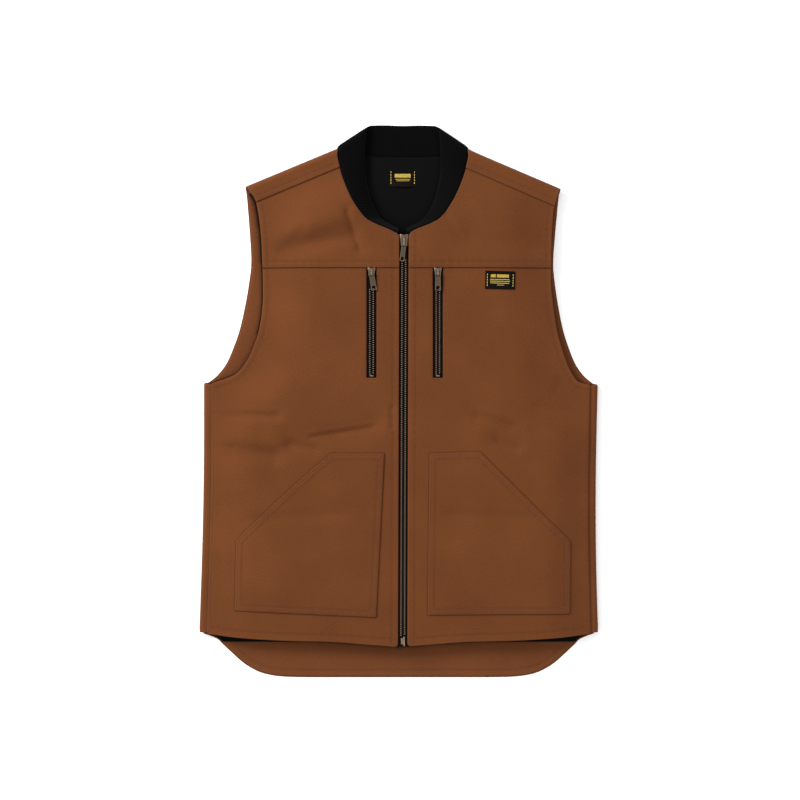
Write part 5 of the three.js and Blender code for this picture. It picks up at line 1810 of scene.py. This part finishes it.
def build_labels(p):
    """Bare black woven labels with gold stitches at their sides and a few plain stripes."""
    s = p.size
    label_cloth = cloth_material(
        "Black label", (0.0042, 0.0026, 0.0016), 2600.0, 0.00008, 0.6, gloss=0.02, rim_tone=1.0
    )
    gold = thread_material("Gold thread", colours().gold)
    y = p.neck_y - COLLAR[-1]["seam"][0] * s.neck_drop - 0.027
    x = float(p.laid(np.array([[0.0, y]]))[0, 0])
    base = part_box("neck_label")[0].z

    def bulge(points, k):
        u = (points[:, 0] - x) / (NECK_LABEL[0] / 2)
        v = (points[:, 1] - y) / (NECK_LABEL[1] / 2)
        rise = 0.0034 * np.clip(1 - u**2, 0, 1) * (0.35 - 0.65 * v)
        half = LABEL_THICKNESS / 2
        return np.column_stack([points, base + half + np.maximum(rise, 0.0) + np.asarray(k) * half])

    chest_at = (p.zip_x(p.chest_y) + 0.1345, p.chest_y - 0.005 - CHEST_LABEL[1] / 2)
    chest = front_place(p, s.canvas / 2 + s.gap + LABEL_THICKNESS / 2)

    def on_chest(points, k):
        return chest(points, k, half=LABEL_THICKNESS / 2)

    for name, place, centre, turn, size in (
        ("neck", bulge, (x, y), 0.0, NECK_LABEL),
        ("chest", on_chest, chest_at, LABEL_TURN, CHEST_LABEL),
    ):
        outline = box_outline(*centre, *size, turn)
        piece = cloth(f"{name}_label_cloth", outline, place, LABEL_THICKNESS, step=0.0016)
        finish_piece(piece, label_cloth, "label", "vest", f"{name}_label")
        declare_cloth(outline)
        half = np.array(size) / 2
        sides = [way * (half[0] - 0.003) for way in (-1, 1)]
        end = half[1] - 0.0035
        runs = [turned_line(centre, turn, (out, -end), (out, end)) for out in sides]
        threads = stitching(f"{name}_label_stitches", runs, place, pitch=0.0036, fill=0.85, radius=0.00042)
        finish_piece(threads, gold, "label", "vest")
        # Plain woven bars: satin stitches side by side, of these rows and shares of the width.
        bars = []
        for row, height, left, right in LABEL_BARS[name]:
            for out in np.arange(left, right, 0.03) * half[0]:
                ends = (out, row - height / 2), (out, row + height / 2)
                bars.append(turned_line(centre, turn, *ends))
        weave = stitching(f"{name}_label_bars", bars, place, pitch=0.0006, fill=0.99, radius=0.00032)
        finish_piece(weave, gold, "label", "vest")


def box_outline(x, y, width, height, turn):
    corners = np.array([[-1, -1], [1, -1], [1, 1], [-1, 1]]) * [width / 2, height / 2]
    c, s = math.cos(turn), math.sin(turn)
    return corners @ np.array([[c, s], [-s, c]]) + [x, y]


def turned_line(centre, turn, start, end):
    c, s = math.cos(turn), math.sin(turn)
    return np.array([start, end]) @ np.array([[c, s], [-s, c]]) + np.array(centre)


def bartacks(p):
    """Lines for short dense bars of thread at the corners of the hand pockets."""
    runs = []
    for name in SIDES:
        corners = inset(pocket_outline(p, name), 0.0045)
        for k in range(len(corners)):
            a, b = corners[k], corners[(k + 1) % len(corners)]
            if np.linalg.norm(b - a) < 0.05:
                continue
            d = (b - a) / np.linalg.norm(b - a)
            n = np.array([-d[1], d[0]])
            if (n @ (corners.mean(axis=0) - a)) < 0:
                n = -n
            start = a + d * 0.004 - n * 0.0028
            runs.append(divided(np.array([start, start + n * 0.009]), 0.0005))
    return runs


def build_stitches():
    """Sews the stitch lines of all pieces made so far."""
    material = thread_material("Brown thread", colours().thread)
    for index, (lines, place) in enumerate(STITCHED):
        runs = [line for line in lines if arcs(line)[-1] > 0.006]
        if not runs:
            continue
        piece = stitching(f"topstitching_{index + 1:02d}", runs, place)
        finish_piece(piece, material, "canvas", "vest")


# Operators. The stitch lines of the pieces made so far, each with the place of its cloth.
STITCHED = []


class VEST_OT_stage(bpy.types.Operator):
    """Add the pale floor, the soft studio light and the camera above the vest"""

    bl_idname = "vest.stage"
    bl_label = "Stage"

    def execute(self, context):
        scene = context.scene
        scene.view_settings.view_transform = "Standard"
        scene.view_settings.look = "None"
        bpy.ops.object.select_all(action="DESELECT")
        bpy.ops.mesh.primitive_plane_add(size=9.0, location=(0.0, 0.0, 0.0))
        floor = bpy.context.object
        floor.name = "studio_floor"
        material, nodes, links, shader = new_material("Pale studio floor")
        shader.inputs["Base Color"].default_value = (*colours().floor, 1.0)
        shader.inputs["Roughness"].default_value = 0.7
        floor.data.materials.append(material)
        world = scene.world or bpy.data.worlds.new("Studio")
        scene.world = world
        world.use_nodes = True
        world.node_tree.nodes["Background"].inputs["Color"].default_value = (1.0, 1.0, 1.0, 1.0)
        world.node_tree.nodes["Background"].inputs["Strength"].default_value = 0.95
        for name, place, power, size in LIGHTS:
            light = bpy.data.lights.new(name, "AREA")
            light.energy = power
            light.size = size
            lamp = bpy.data.objects.new(name, light)
            lamp.location = place
            lamp.rotation_mode = "QUATERNION"
            lamp.rotation_quaternion = (-Vector(place)).to_track_quat("-Z", "Y")
            scene.collection.objects.link(lamp)
        camera = bpy.data.cameras.new("camera")
        camera.lens = LENS
        camera.sensor_width = SENSOR
        holder = bpy.data.objects.new("camera", camera)
        height = VIEW_HALF_WIDTH * LENS / (SENSOR / 2)
        holder.location = (VIEW_X, 0.0, height + VIEW_HEIGHT)
        scene.collection.objects.link(holder)
        scene.camera = holder
        return {"FINISHED"}


class VEST_OT_back(bpy.types.Operator):
    """Make the back panel and the back yoke, folded over the sides and the shoulders"""

    bl_idname = "vest.back"
    bl_label = "Back"

    def execute(self, context):
        p = pattern()
        STITCHED.append(build_back(p))
        STITCHED.append(build_back_yoke(p))
        return {"FINISHED"}


class VEST_OT_inside(bpy.types.Operator):
    """Make the lining and the facings inside the back"""

    bl_idname = "vest.inside"
    bl_label = "Lining and facings"

    def execute(self, context):
        STITCHED.extend(build_inside(pattern()))
        return {"FINISHED"}


class VEST_OT_fronts(bpy.types.Operator):
    """Make the front yokes and the front panels"""

    bl_idname = "vest.fronts"
    bl_label = "Fronts"

    def execute(self, context):
        STITCHED.extend(build_fronts(pattern()))
        return {"FINISHED"}


class VEST_OT_pockets(bpy.types.Operator):
    """Make the hand pockets"""

    bl_idname = "vest.pockets"
    bl_label = "Hand pockets"

    def execute(self, context):
        p = pattern()
        made = build_pockets(p)
        STITCHED.extend(made)
        STITCHED.append((bartacks(p), made[0][1]))
        return {"FINISHED"}


class VEST_OT_collar(bpy.types.Operator):
    """Make the rib knit collar"""

    bl_idname = "vest.collar"
    bl_label = "Collar"

    def execute(self, context):
        build_collar(pattern())
        return {"FINISHED"}


class VEST_OT_zips(bpy.types.Operator):
    """Make the zips: tapes, teeth, sliders, pulls and stops"""

    bl_idname = "vest.zips"
    bl_label = "Zips"

    def execute(self, context):
        p = pattern()
        build_tapes(p)
        for zip_name in ZIPS:
            build_chain(p, zip_name)
            build_slider(zip_name)
            build_pull(zip_name)
        build_stops(p)
        return {"FINISHED"}


class VEST_OT_labels(bpy.types.Operator):
    """Make the two plain labels"""

    bl_idname = "vest.labels"
    bl_label = "Labels"

    def execute(self, context):
        build_labels(pattern())
        return {"FINISHED"}


class VEST_OT_stitches(bpy.types.Operator):
    """Sew the topstitching along the stitch lines of the pieces made so far"""

    bl_idname = "vest.stitches"
    bl_label = "Topstitching"

    def execute(self, context):
        if not STITCHED:
            raise RuntimeError("make the cloth pieces before their stitching")
        build_stitches()
        STITCHED.clear()
        return {"FINISHED"}


class VEST_PT_panel(bpy.types.Panel):
    """Sizes, colours and steps of the vest"""

    bl_idname = "VEST_PT_panel"
    bl_label = "Work vest"
    bl_space_type = "VIEW_3D"
    bl_region_type = "UI"
    bl_category = "Vest"

    def draw(self, context):
        layout = self.layout
        for step in STEPS:
            layout.operator(step.bl_idname)
        for group in (context.scene.vest_sizes, context.scene.vest_colours):
            for key in group.__annotations__:
                layout.prop(group, key)


STEPS = (
    VEST_OT_stage,
    VEST_OT_back,
    VEST_OT_inside,
    VEST_OT_fronts,
    VEST_OT_pockets,
    VEST_OT_collar,
    VEST_OT_zips,
    VEST_OT_labels,
    VEST_OT_stitches,
)
CLASSES = (VestSizes, VestColours, *STEPS, VEST_PT_panel)


def register():
    for cls in CLASSES:
        bpy.utils.register_class(cls)
    bpy.types.Scene.vest_sizes = PointerProperty(type=VestSizes)
    bpy.types.Scene.vest_colours = PointerProperty(type=VestColours)


def unregister():
    del bpy.types.Scene.vest_colours
    del bpy.types.Scene.vest_sizes
    for cls in reversed(CLASSES):
        bpy.utils.unregister_class(cls)


def main():
    register()
    bpy.ops.vest.stage()
    bpy.ops.vest.back()
    bpy.ops.vest.inside()
    bpy.ops.vest.fronts()
    bpy.ops.vest.pockets()
    bpy.ops.vest.collar()
    bpy.ops.vest.zips()
    bpy.ops.vest.labels()
    bpy.ops.vest.stitches()


if __name__ == "__main__":
    main()
